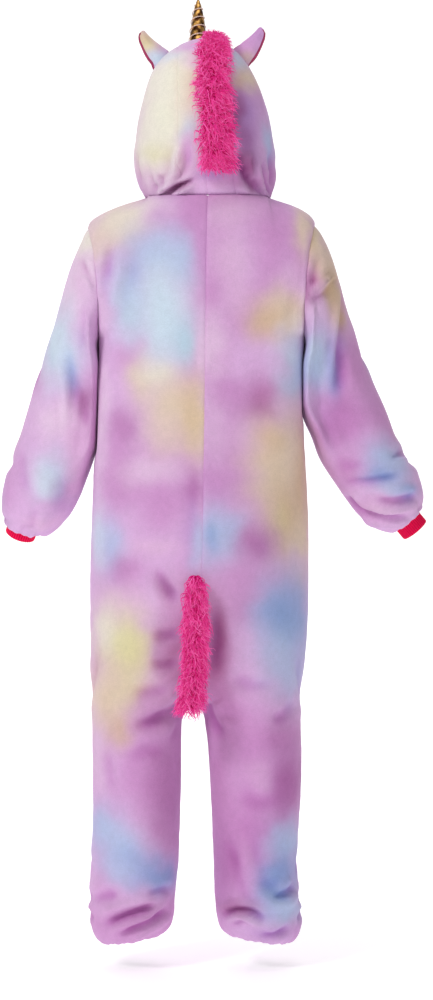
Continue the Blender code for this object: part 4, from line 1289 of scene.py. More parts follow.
@dataclass
class Body:
    """The four body panels: back and front, left and right, from the ankle hems to the neck."""

    hem_rise: float = 0.016
    hem_rise_ends: float = -1.230
    neck_x: float = -0.007
    neck_half: float = 0.113
    neck_depth: dict[Face, float] = field(default_factory=lambda: {Face.BACK: 0.085, Face.FRONT: 0.088})
    neck_drop: dict[Face, float] = field(default_factory=lambda: {Face.BACK: 0.004, Face.FRONT: 0.060})
    neck_z: float = 0.006
    shoulder_x: dict[Side, float] = field(default_factory=lambda: {Side.LEFT: 0.2075, Side.RIGHT: -0.1990})
    shoulder_z: dict[Side, float] = field(default_factory=lambda: {Side.LEFT: -0.0500, Side.RIGHT: -0.0436})
    armhole_half: float = 0.095
    upper: dict[Face, float] = field(default_factory=lambda: {Face.BACK: 0.112, Face.FRONT: -0.118})
    yoke_round: float = 4.0
    seam_slope: float = 0.75
    boxy: float = 0.62
    boxy_ends: float = -0.70
    boxy_fades: float = 0.25
    neck_end: float = 136.0
    armhole_level: float = 174.0
    armhole_bow: float = 4.0
    centre_bow: float = 1.5
    armhole_degrees: tuple[int, ...] = (0, 30, 60, 90, 120, 150, 176, 180)
    waves: float = 0.0020
    well: float = 0.0140
    give: float = 0.0070
    flat: tuple[float, float] = (0.30, 1.38)
    flat_area: float = 0.355

    def neck_point(self, degrees: float, side: Side) -> Vector:
        """A point of the neck seam, from 0 at centre back to 180 at centre front."""
        turn = math.radians(degrees)
        face = Face.BACK if degrees <= 90 else Face.FRONT
        x = self.neck_x + side.value * self.neck_half * math.sin(turn)
        z = self.neck_z - self.neck_drop[face] * math.cos(turn) ** 2
        return Vector((x, self.neck_depth[face] * math.cos(turn), z))

    def shoulder_point(self, share: float, side: Side) -> Vector:
        """A point of the shoulder seam, from the neck (0) to the top of the armhole (1)."""
        start = self.neck_point(90, side)
        turn = share * math.pi / 2
        fall = (1 - self.seam_slope) * (1 - math.cos(turn)) + self.seam_slope * share
        x = mix(start.x, self.shoulder_x[side], math.sin(turn))
        return Vector((x, 0, mix(start.z, self.shoulder_z[side], fall)))

    def level_point(self, level: Level, side: Side, face: Face, turn: float) -> Vector:
        """A point of a level section, by its turn across the panel."""
        inner = level.in_left if side is Side.LEFT else level.in_right
        outer = level.out_left if side is Side.LEFT else level.out_right
        moved = level.split * (outer - inner) / 2
        reach = outer - inner - moved
        x = mix(inner, outer, share_across(turn))
        power = mix(1.0, self.boxy, max(0.0, (level.z - self.boxy_ends) / (BODY[-1].z - self.boxy_ends)))
        depth = level.back if face is Face.BACK else level.front
        y = depth * max(0.0, 1 - ((x - inner - moved) / reach) ** 2) ** (power / 2)
        low = max(0.0, (self.hem_rise_ends - level.z) / (self.hem_rise_ends - BODY[0].z))
        return Vector((x, y, level.z + self.hem_rise * low * (outer - x) / (outer - inner)))

    def chest_point(self, side: Side, face: Face, column: Column, height: float) -> Vector:
        """A point above the underarm.

        Args:
            side: the panel's side.
            face: back or front.
            column: the panel's column.
            height: 0 at the underarm and 1 at the neck or shoulder seam.

        Returns:
            The point.
        """
        under = BODY[-1]
        low = self.level_point(under, side, face, column.turn)
        share = share_across(column.turn)
        if column.turn <= self.neck_end:
            top = self.neck_point(column.neck_deg, side)
        else:
            start = share_across(self.neck_end)
            top = self.shoulder_point(math.asin((share - start) / (1 - start)) * 2 / math.pi, side)
        bow = mix(self.centre_bow, self.armhole_bow, share**3)
        round_off = math.sqrt(1 - height**self.yoke_round)
        armhole = face.value * self.armhole_half * 2 * math.sqrt(height * (1 - height)) / max(round_off, 1e-6)
        centre = mix(under.back if face is Face.BACK else under.front, self.upper[face], height)
        level_share = min(1.0, share / share_across(self.armhole_level))
        power = mix(self.boxy, 1.0, min(1.0, height / self.boxy_fades))
        section = mix(armhole, centre, (1 - level_share**2) ** (power / 2))
        y = top.y + (section - top.y) * round_off
        return Vector((mix(low.x, top.x, height**bow), y, mix(low.z, top.z, height)))

    def rows(self, side: Side, face: Face) -> list[list[Vector]]:
        """The rows of a panel, from its ankle hem to its neck and shoulder seams."""
        columns = COLUMNS[face] + SHOULDER_COLUMNS
        rows = [[self.level_point(level, side, face, c.turn) for c in columns] for level in BODY]
        for degrees in self.armhole_degrees[1:]:
            rows.append([self.chest_point(side, face, c, share_across(degrees)) for c in columns])
        for point, above, column in zip(rows[-2], rows[-1], columns):
            if column.turn > self.neck_end:
                point.z = above.z
        return rows

    def shape(self, panel: Panel, side: Side, face: Face) -> Array:
        """Creases, gathers and seams of a panel.

        Args:
            panel: its fine grid.
            side: its side.
            face: back or front.

        Returns:
            How far each point moved outwards.
        """
        outer = View.LEFT if side is Side.LEFT else View.RIGHT
        moved = slack(panel, self.waves, 11 if face is Face.BACK else 47)
        moved += creased(panel, [BODY_FOLDS[face]], 100) + creased(panel, [(outer, OUTER_LEG_FOLDS)], 200)
        beside = ease(panel.out[..., 0] * side.value, 0.25, 0.8)
        beside *= ease(panel.rest[..., 2], -0.62, -0.50)
        moved *= 1 - beside
        moved *= ease(panel.reach[Edge.LAST], -0.004, 0.02) * ease(panel.reach[Edge.FIRST], -0.006, 0.014)
        moved += stitched(panel, (Edge.FIRST, Edge.LAST, Edge.TOP)) + 0.0007 * beside
        moved += Gathers(Edge.BOTTOM, 0.0014, 0.0135, 0.055, 61 + side.value + 3 * face.value).of(panel)
        armhole = ease(panel.rest[..., 2], -0.25, -0.17) * ease(panel.rest[..., 2], -0.045, -0.07)
        moved += 0.0012 * armhole * np.exp(-((panel.reach[Edge.LAST] / 0.016) ** 2))
        panel.push(moved)
        panel.points[..., 1] += pressed(panel, side.value, self.well)
        panel.points[..., 0] -= side.value * self.give * tucked(panel, side.value)
        return moved

    def build(self, room: Workroom) -> None:
        """Builds the four panels."""
        for face in Face:
            for side in Side:
                name = f"{face.word}_{side.word}"
                rows = sewn(self.rows(side, face), (Edge.FIRST, Edge.LAST, Edge.TOP))
                panel = Panel(rows, (side.value * 0.09, 0, -0.6))
                blotches = (BACK_DYE if face is Face.BACK else FRONT_DYE)[side]
                colours = DyeBath(blotches, seed=5 if face is Face.BACK else 75).colours(panel.rest)
                # Painted shade in the creases and painted highlight on the ridges.
                colours = painted_fold_shading(colours, self.shape(panel, side, face))
                room.shell(f"{name}_panel", panel, "fleece", colours, [name], self.flat, self.flat_area,
                           Hold.HUNG, full=(Edge.BOTTOM,))


# ---- sleeves and cuffs -------------------------------------------------------------------------


class Ring(NamedTuple):
    """A ring of a sleeve between its outer and inner line, with its half depth about a middle."""

    out_x: float
    out_z: float
    low_x: float
    low_z: float
    depth: float
    middle: float


SLEEVES = {
    Side.LEFT: (
        Ring(0.2075, -0.0500, 0.1880, -0.2500, 0.095, 0.000),
        Ring(0.2182, -0.0738, 0.1900, -0.2620, 0.101, -0.004),
        Ring(0.2378, -0.1170, 0.1912, -0.2800, 0.103, -0.009),
        Ring(0.2556, -0.1710, 0.1920, -0.3030, 0.100, -0.016),
        Ring(0.2736, -0.2304, 0.1928, -0.3340, 0.096, -0.023),
        Ring(0.2916, -0.2844, 0.1938, -0.3680, 0.092, -0.028),
        Ring(0.3132, -0.3546, 0.1952, -0.4100, 0.088, -0.031),
        Ring(0.3312, -0.4158, 0.1985, -0.4500, 0.086, -0.033),
        Ring(0.3474, -0.4680, 0.2110, -0.4920, 0.084, -0.035),
        Ring(0.3627, -0.5130, 0.2268, -0.5320, 0.080, -0.037),
        Ring(0.3654, -0.5418, 0.2455, -0.5650, 0.071, -0.040),
        Ring(0.3645, -0.5590, 0.2700, -0.5900, 0.057, -0.042),
        Ring(0.3600, -0.5700, 0.2900, -0.6000, 0.043, -0.042),
    ),
    Side.RIGHT: (
        Ring(-0.1990, -0.0436, -0.1795, -0.2500, 0.095, 0.000),
        Ring(-0.2135, -0.0662, -0.1812, -0.2620, 0.101, -0.004),
        Ring(-0.2304, -0.1026, -0.1812, -0.2800, 0.103, -0.009),
        Ring(-0.2466, -0.1512, -0.1808, -0.3020, 0.100, -0.016),
        Ring(-0.2637, -0.2088, -0.1802, -0.3300, 0.096, -0.023),
        Ring(-0.2826, -0.2646, -0.1802, -0.3600, 0.092, -0.028),
        Ring(-0.3042, -0.3168, -0.1832, -0.3890, 0.088, -0.031),
        Ring(-0.3312, -0.3762, -0.1975, -0.4230, 0.086, -0.033),
        Ring(-0.3528, -0.4338, -0.2130, -0.4640, 0.084, -0.035),
        Ring(-0.3798, -0.4752, -0.2385, -0.5040, 0.080, -0.037),
        Ring(-0.3924, -0.5040, -0.2600, -0.5370, 0.071, -0.040),
        Ring(-0.3965, -0.5290, -0.2850, -0.5680, 0.057, -0.042),
        Ring(-0.3935, -0.5450, -0.3150, -0.5890, 0.043, -0.042),
    ),
}


class CuffLine(NamedTuple):
    """A cuff from its top to its open end. The sleeve is sewn on at mouth, a share of the way."""

    top: Vector
    end: Vector
    half_width: float
    half_depth: float
    mouth: float


CUFFS = {
    Side.LEFT: CuffLine(
        Vector((0.3255, -0.032, -0.5760)), Vector((0.3345, -0.044, -0.5995)), 0.0278, 0.0250, 0.36
    ),
    Side.RIGHT: CuffLine(
        Vector((-0.3610, -0.038, -0.5640)), Vector((-0.3834, -0.044, -0.5905)), 0.0262, 0.0240, 0.32
    ),
}
SLEEVE_FOLDS = {
    Side.LEFT: (
        (View.BACK, folds(
            (((220, -103), (206, -137), (186, -169)), 6, 5, 0.7, 0, (0.25, 0.2)),
            (((206, -114), (195, -139), (188, -160)), 4, 6),
            (((263, -227), (251, -306), (246, -375), (246, -474)), -5, 10, 0.5, 0, (0.3, 0.4)),
            (((243, -261), (232, -323), (213, -377), (193, -419)), 5.5, 12.5, 0.45, 0.3, (0.45, 0.2)),
            (((220, -234), (206, -261), (190, -274)), 3, 14),
            (((318, -469), (291, -501), (264, -533)), -3, 12),
            (((334, -430), (323, -483), (319, -536)), 2.8, 12),
            (((238, -483), (252, -528), (273, -561)), 3.6, 14),
            (((298, -545), (303, -568), (309, -586)), 3, 8, 0.5, 0, (0.5, 0.05)),
        )),
        (View.FRONT, folds(
            (((215, -110), (205, -160), (198, -210)), 6, 11.5),
            (((205, -300), (238, -318), (278, -306)), 7.2, 11.5),
            (((203, -350), (245, -356), (292, -336)), 6, 12.6),
            (((218, -440), (250, -470), (290, -476)), 5.8, 12.6),
            (((270, -520), (296, -542), (326, -548)), 5.5, 10.3),
        )),
        (View.LEFT, folds(
            (((-60, -240), (-20, -290), (10, -350)), 4.1, 14.9),
            (((-70, -440), (-30, -470), (10, -470)), 4.8, 12.6),
        )),
    ),
    Side.RIGHT: (
        (View.BACK, folds(
            (((-181, -178), (-206, -158), (-237, -129)), -7.5, 6, 0.6, 0, (0.1, 0.35)),
            (((-185, -160), (-199, -128), (-208, -92)), 4.5, 8, 0.5, 0, (0.2, 0.5)),
            (((-236, -144), (-236, -193), (-229, -266), (-226, -346)), -5.5, 6.5, 0.6, 0.4, (0.15, 0.4)),
            (((-242, -252), (-244, -297), (-238, -359)), 5, 11, 0.4, -0.3),
            (((-190, -181), (-194, -234), (-190, -309)), -2.8, 9),
            (((-210, -456), (-251, -480), (-299, -476)), 3.5, 14),
            (((-236, -504), (-290, -504), (-329, -496), (-363, -485)), 6.2, 8.5, 0.6, 0, (0.25, 0.3)),
            (((-299, -535), (-340, -540), (-384, -529)), 8.2, 8.5, 0.6, 0, (0.35, 0.1)),
            (((-256, -526), (-281, -556), (-325, -567), (-359, -564), (-377, -552)), 9.8, 6.8, 0.7, 0,
             (0.1, 0.3)),
            (((-331, -462), (-345, -456), (-363, -446)), 5, 7, 0.6, 0, (0.45, 0.1)),
            (((-203, -430), (-224, -476), (-249, -515)), -3, 11),
        )),
        (View.FRONT, folds(
            (((-212, -100), (-200, -150), (-192, -205)), 6, 11.5),
            (((-192, -290), (-232, -306), (-272, -284)), 7.2, 11.5),
            (((-192, -338), (-240, -345), (-290, -316)), 6.2, 12.6),
            (((-215, -425), (-262, -442), (-318, -420)), 5.5, 12.6),
            (((-270, -505), (-310, -520), (-352, -510)), 6, 10.3),
        )),
        (View.RIGHT, folds(
            (((-60, -220), (-20, -270), (10, -320)), 4.1, 14.9),
            (((-70, -450), (-30, -462), (10, -470)), 5.3, 11.5),
        )),
    ),
}
SLEEVE_DYE = {
    Side.LEFT: DyeBath(
        spots(
            (CREAM, 206, -80, 29, 40, 90), (PALE_PINK, 206, -131, 32, 36, 80),
            (PALE_PINK, 227, -181, 36, 43, 85), (PINK_LILAC, 220, -160, 13, 29, 50),
            (PALE_PINK, 245, -156, 16, 32, 60), (LILAC, 202, -213, 20, 43, 60),
            (ICE, 263, -261, 36, 72, 95), (MIST, 231, -281, 25, 32, 80), (BLUE, 236, -313, 16, 32, 70),
            # The plum blotch at x 218 mm lies in a crease: painted crease shade.
            (LILAC, 206, -274, 14, 61, 55), (ORCHID, 204, -394, 18, 72, 85), (PLUM_AND_PAINTED_SHADE, 218, -371, 13, 29, 55),
            (DEEP_ORCHID, 200, -440, 14, 36, 60), (PALE_PINK, 263, -394, 36, 32, 90),
            (PINK_LILAC, 231, -430, 22, 61, 70), (ICE, 280, -497, 25, 47, 85),
            (MIST, 255, -494, 18, 40, 50), (PINK_LILAC, 231, -512, 18, 43, 70),
            (LILAC, 277, -554, 40, 14, 75), (PINK_LILAC, 270, -579, 47, 14, 85),
        ),
        spots(
            (BEIGE, 215, -100, 30, 50, 75), (BLUE, 230, -210, 45, 60, 80), (ORCHID, 250, -330, 60, 50, 75),
            (TAN, 290, -420, 45, 45, 70), (MIST, 300, -520, 55, 50, 80),
        ),
        21, -0.020,
    ),
    Side.RIGHT: DyeBath(
        spots(
            (BEIGE, -194, -60, 22, 40, 90), (TAN, -192, -89, 14, 29, 70), (BEIGE, -213, -114, 29, 54, 80),
            (TAN, -228, -163, 18, 50, 85), (TAN, -242, -213, 16, 29, 80), (ROSE, -189, -153, 20, 36, 75),
            # The plum blotch at x -183 mm lies in the armhole's creases: painted crease shade.
            (PLUM_AND_PAINTED_SHADE, -183, -185, 13, 20, 70), (PINK_LILAC, -196, -203, 20, 25, 80),
            (LILAC, -192, -234, 22, 22, 70), (BLUE, -196, -298, 31, 65, 95), (ICE, -203, -274, 18, 32, 45),
            (DEEP_BLUE, -231, -309, 14, 54, 85), (VIOLET, -242, -274, 13, 40, 60),
            (ORCHID, -267, -298, 29, 61, 85), (LILAC, -199, -366, 29, 29, 70),
            (ORCHID, -252, -394, 61, 43, 85), (DEEP_ORCHID, -245, -366, 25, 18, 40),
            (DEEP_ORCHID, -224, -419, 25, 25, 40), (LILAC, -306, -430, 29, 29, 70),
            (BLUE, -324, -462, 36, 32, 90), (DEEP_BLUE, -316, -494, 36, 16, 85),
            (ORCHID, -252, -483, 32, 29, 70), (BLUE, -352, -483, 25, 22, 60),
            (LILAC, -284, -519, 32, 18, 70), (DEEP_BLUE, -366, -519, 25, 16, 80),
            (BLUE, -334, -515, 29, 14, 60), (PINK_LILAC, -302, -547, 61, 18, 85),
            (ORCHID, -270, -544, 25, 14, 50), (LILAC, -370, -547, 22, 14, 60),
        ),
        spots(
            (TAN, -215, -90, 30, 50, 75), (ORCHID, -225, -200, 45, 60, 80), (MIST, -250, -320, 55, 50, 80),
            (BEIGE, -290, -420, 50, 45, 75), (ROSE, -320, -510, 55, 45, 70),
        ),
        27, -0.020,
    ),
}


@dataclass
class Sleeve:
    """A sleeve, from the armhole to its gathers, and the rib cuff that it is sewn to."""

    side: Side
    gather_reach: float = 0.008
    ribs: int = 40
    rib_depth: float = 0.00045
    waves: float = 0.0022
    well: float = 0.0240
    sink: float = 0.0055
    fullness: tuple[float, ...] = (0.12, 0.3, 0.5, 0.65, 0.72, 0.72, 0.70, 0.55, 0.30, 0.1, 0.0, 0.0)
    flat: tuple[float, float] = (0.64, 0.52)
    flat_area: float = 0.222
    cuff_flat: tuple[float, float] = (0.200, 0.036)

    def degrees(self) -> list[int]:
        """Angles round the arm: up the back from the underarm, and down the front again."""
        up = Body().armhole_degrees
        return list(up) + [360 - a for a in reversed(up[1:-1])]

    def ring(self, ring: Ring, bow: float = 1.0, full: float = 0.0) -> list[Vector]:
        """The points of a ring, which swings out late where bow is over 1.

        Args:
            ring: the ring's size.
            bow: how late its upper part swings out.
            full: how much its lower half fills out against the body.

        Returns:
            The points.
        """
        points = []
        for degrees in self.degrees():
            share = share_across(degrees)
            x = mix(ring.low_x, ring.out_x, share**bow)
            swing = math.sin(math.radians(degrees))
            swing = math.copysign(abs(swing) ** (1 - full * (1 - share)), swing)
            y = ring.middle + ring.depth * swing
            points.append(Vector((x, y, mix(ring.low_z, ring.out_z, share))))
        return points

    def cuff_ring(self, along: float, grow: float = 0.0, degrees: Sequence[float] = ()) -> list[Vector]:
        """A ring of the cuff.

        Args:
            along: 0 at its top and 1 at its open end.
            grow: how much wider the ring is.
            degrees: angles round it, or those of the sleeve.

        Returns:
            The ring's points.
        """
        cuff = CUFFS[self.side]
        axis = (cuff.end - cuff.top).normalized()
        outwards = axis.cross(Vector((0, self.side.value, 0))).normalized()
        ahead = outwards.cross(axis) * self.side.value
        centre = cuff.top.lerp(cuff.end, along)
        points = []
        for angle in degrees or self.degrees():
            turn = math.radians(angle)
            across = outwards * -math.cos(turn) * (cuff.half_width + grow)
            points.append(centre + across + ahead * math.sin(turn) * (cuff.half_depth + grow))
        return points

    def build(self, room: Workroom) -> None:
        """Builds the sleeve and its cuff."""
        self.build_sleeve(room)
        self.build_cuff(room)

    def build_sleeve(self, room: Workroom) -> None:
        """Builds the sleeve: rings, creases, gathers at the cuff, and the armhole seam."""
        rings = SLEEVES[self.side]
        rows = [self.ring(rings[0], Body().armhole_bow)]
        rows += [self.ring(ring, full=full) for ring, full in zip(rings[1:], self.fullness)]
        mouth = CUFFS[self.side].mouth
        rows += [self.cuff_ring(mouth, grow) for grow in (self.gather_reach, 2 * SEAM_GAP)]
        panel = Panel(sewn(rows, (Edge.BOTTOM,)), (self.side.value * 0.27, -0.01, -0.33), closed=True)
        colours = SLEEVE_DYE[self.side].colours(panel.rest)
        moved = slack(panel, self.waves, 83) + creased(panel, SLEEVE_FOLDS[self.side], 300)
        beside = ease(-panel.out[..., 0] * self.side.value, 0.15, 0.65)
        beside *= ease(panel.rest[..., 2], -0.53, -0.44)
        moved *= (1 - beside) * ease(panel.reach[Edge.BOTTOM], -0.004, 0.016)
        moved *= ease(panel.reach[Edge.TOP], 0.004, 0.02)
        moved += Seam(Edge.BOTTOM, 0.0008).of(panel) * (1 - beside)
        moved += Gathers(Edge.TOP, 0.0019, 0.0115, 0.060, 91 + self.side.value).of(panel)
        armhole = ease(panel.rest[..., 2], -0.25, -0.17) * ease(panel.rest[..., 2], -0.045, -0.07)
        moved += 0.0012 * armhole * np.exp(-((panel.reach[Edge.BOTTOM] / 0.016) ** 2))
        moved += (0.0007 if self.side is Side.LEFT else 0.0015) * beside
        panel.push(moved)
        panel.points[..., 1] += pressed(panel, -self.side.value, self.well)
        panel.points[..., 0] -= self.side.value * self.sink * tucked(panel, -self.side.value)
        # Painted shade in the creases and painted highlight on the ridges.
        colours = painted_fold_shading(colours, moved)
        node = f"sleeve_{self.side.word}"
        room.shell(f"{node}_cloth", panel, "fleece", colours, [node], self.flat, self.flat_area,
                   Hold.GATHERED)

    def build_cuff(self, room: Workroom) -> None:
        """Builds the cuff as a folded rib tube, rounded at its open end."""
        angles = np.arange(0, 360, 360 / (self.ribs * 6))
        shares = np.linspace(0, 1, 22)
        rows = [self.cuff_ring(s, 0.0, list(angles)) for s in shares]
        points = np.array([[tuple(p) for p in row] for row in rows])
        panel = Panel.__new__(Panel)
        panel.rows, panel.closed, panel.points, panel.rest = rows, True, points, points.copy()
        panel.inside = tuple(CUFFS[self.side].top.lerp(CUFFS[self.side].end, 0.5))
        panel.measure()
        rib = np.cos(np.radians(angles) * self.ribs)[None]
        fold = np.exp(-(((1 - shares) / 0.10) ** 2))[:, None]
        sag = 0.0007 * Waves(17, 0.02).at(points)
        panel.push(self.rib_depth * np.sign(rib) * np.abs(rib) ** 0.7 + sag - 0.0006 * fold)
        # Painted shade: the knit is darker in the valleys between the ribs than on their crests.
        shade = ease(rib, -1.0, 0.6)[..., None] * np.ones((len(shares), 1, 1))
        finish = KnitFinish()
        colours = linear(finish.low) * (1 - shade) + linear(finish.high) * shade
        node = f"cuff_{self.side.word}"
        room.shell(f"{node}_knit", panel, "rib_knit", colours, [node], self.cuff_flat, None, Hold.STRETCHED,
                   thickness=KNIT, full=(Edge.TOP, Edge.BOTTOM))


# ---- hood --------------------------------------------------------------------------------------


class HoodRow(NamedTuple):
    """A level oval of the hood. dip lowers its front, and face is the face opening's half width."""

    z: float
    dip: float
    mid_x: float
    mid_y: float
    half: float
    back: float
    front: float
    face: float


HOOD = (
    HoodRow(0.024, 0.045, -0.0050, -0.004, 0.1210, 0.094, -0.092, 0.028),
    HoodRow(0.045, 0.028, -0.0036, -0.008, 0.1248, 0.103, -0.101, 0.058),
    HoodRow(0.067, 0.014, -0.0012, -0.010, 0.1262, 0.108, -0.107, 0.074),
)
DOME = HOOD[-1]
DOME_HEIGHT = 0.228
CROWN_HALF = 0.047
DOME_ROWS = (
    (7.0, 0.080), (16.0, 0.079), (26.0, 0.069), (36.0, 0.047), (46.0, 0.047), (55.0, 0.047), (62.5, 0.047),
)
SIDE_NECK_DEG = (26.0, 29.0, 47.0, 68.0, 90.0, 108.0, 126.0, 144.0, 162.0, 177.5)
CROWN_SHARES = ((0.0, 0.0), (0.10, 2.5), (0.55, 14.0), (0.92, 23.9), (1.0, 26.0))
FACE_ROWS = 4  # rows of the dome that end at the face opening
CORNER_DEG = 36.0
FOREHEAD_ARCH = 5.0

class Swell(NamedTuple):
    """A place where the hood stands out, or in where lift is below 0."""

    x: float
    z: float
    across: float
    lift: float


HOOD_SWELLS = (
    Swell(0.080, 0.245, 0.050, 0.0070), Swell(-0.075, 0.262, 0.040, 0.0015),
    Swell(0.124, 0.040, 0.030, -0.0025), Swell(-0.128, 0.040, 0.026, -0.0020),
)
HOOD_FOLDS = (
    (View.BACK, folds(
        (((83, 0), (66, 20), (51, 49), (44, 81), (40, 107)), -12, 8, 0.5, -0.3, (0.05, 0.5)),
        (((79, 3), (51, 14), (29, 24), (10, 29)), 11, 4.2, 0.8, -0.5, (0.1, 0.4)),
        (((99, 43), (88, 20), (82, 11)), 7, 4.5), (((85, 43), (73, 24), (69, 30)), 6, 4.5),
        (((-57, 76), (-66, 53), (-78, 32), (-96, 11)), 12, 8, 0.6, 0.4, (0.2, 0.45)),
        (((-46, 25), (-76, 10), (-108, -3)), -6, 7, 0.4, 0, (0.4, 0.1)),
        (((-96, 75), (-97, 46), (-105, 20), (-117, 0)), -10, 4.8, 0.65, 0, (0.35, 0.15)),
        (((-109, 62), (-113, 36), (-118, 18)), -5.5, 4.2, 0.5), (((10, 14), (-20, 9), (-50, 13)), -4, 12),
    )),
    (View.LEFT, folds(
        (((30, 100), (15, 60), (20, 20)), 5, 13.7), (((-20, 80), (-35, 45), (-40, 10)), 4.3, 12.5),
        (((-60, 110), (-55, 70), (-62, 30)), 2.9, 15),
    )),
    (View.RIGHT, folds(
        (((40, 95), (22, 58), (26, 18)), 5, 13.7), (((-10, 85), (-28, 50), (-34, 12)), 4.3, 12.5),
        (((-56, 120), (-50, 76), (-58, 36)), 2.9, 15),
    )),
    (View.FRONT, folds(
        (((100, 100), (96, 60), (86, 20)), 2.9, 12.5), (((-102, 100), (-98, 60), (-88, 20)), 2.9, 12.5),
    )),
)
HOOD_DYE = DyeBath(
    spots(
        (LILAC, -2, 2, 137, 32, 95), (CREAM, 67, 141, 61, 94, 100), (CREAM, 49, 211, 58, 47, 95),
        (CREAM, 95, 84, 36, 40, 80), (BEIGE, 30, 194, 22, 47, 45), (YELLOW, 81, 80, 23, 16, 40),
        (ICE, 63, 254, 22, 14, 50), (PALE_PINK, 21, 243, 14, 13, 60), (LILAC, 24, 272, 22, 13, 90),
        (MIST, 24, 119, 14, 25, 60), (LILAC, 24, 80, 14, 29, 80), (PALE_PINK, 99, 31, 25, 16, 50),
        (MIST, -57, 247, 23, 23, 80), (BEIGE, -78, 215, 27, 23, 95), (TAN, -57, 208, 14, 14, 35),
        # The violet and plum blotches right of the mane, at x -57 to -85 mm and z 91 to 148 mm, are painted
        # shadow of the mane; the plum ones lower down, and the one at x 46 mm, lie in the neck's creases as
        # painted crease shade.
        (LILAC, -103, 151, 22, 40, 70), (VIOLET, -71, 144, 27, 47, 85), (PLUM_AND_PAINTED_SHADE, -57, 148, 14, 36, 70),
        (VIOLET, -82, 91, 25, 36, 80), (PLUM_AND_PAINTED_SHADE, -75, 98, 16, 29, 45), (BLUE, -116, 98, 11, 36, 90),
        (LILAC, -100, 87, 13, 32, 60), (PLUM_AND_PAINTED_SHADE, -73, 52, 13, 22, 90, 20), (PLUM_AND_PAINTED_SHADE, -85, 24, 14, 13, 60, 40),
        (PLUM_AND_PAINTED_SHADE, 46, 18, 32, 5, 75, -24), (ORCHID, -105, 34, 18, 18, 60), (DEEP_ORCHID, -50, 41, 22, 16, 70),
        (VIOLET, -15, 41, 22, 14, 70),
    ),
    spots(
        (CREAM, 90, 150, 50, 80, 90), (LILAC, 90, 50, 70, 45, 80), (MIST, 30, 250, 60, 35, 80),
        (BEIGE, -70, 220, 50, 36, 80), (BLUE, -105, 130, 40, 60, 80), (ORCHID, -85, 40, 60, 40, 70),
    ),
    39, -0.010, 0.04,
)


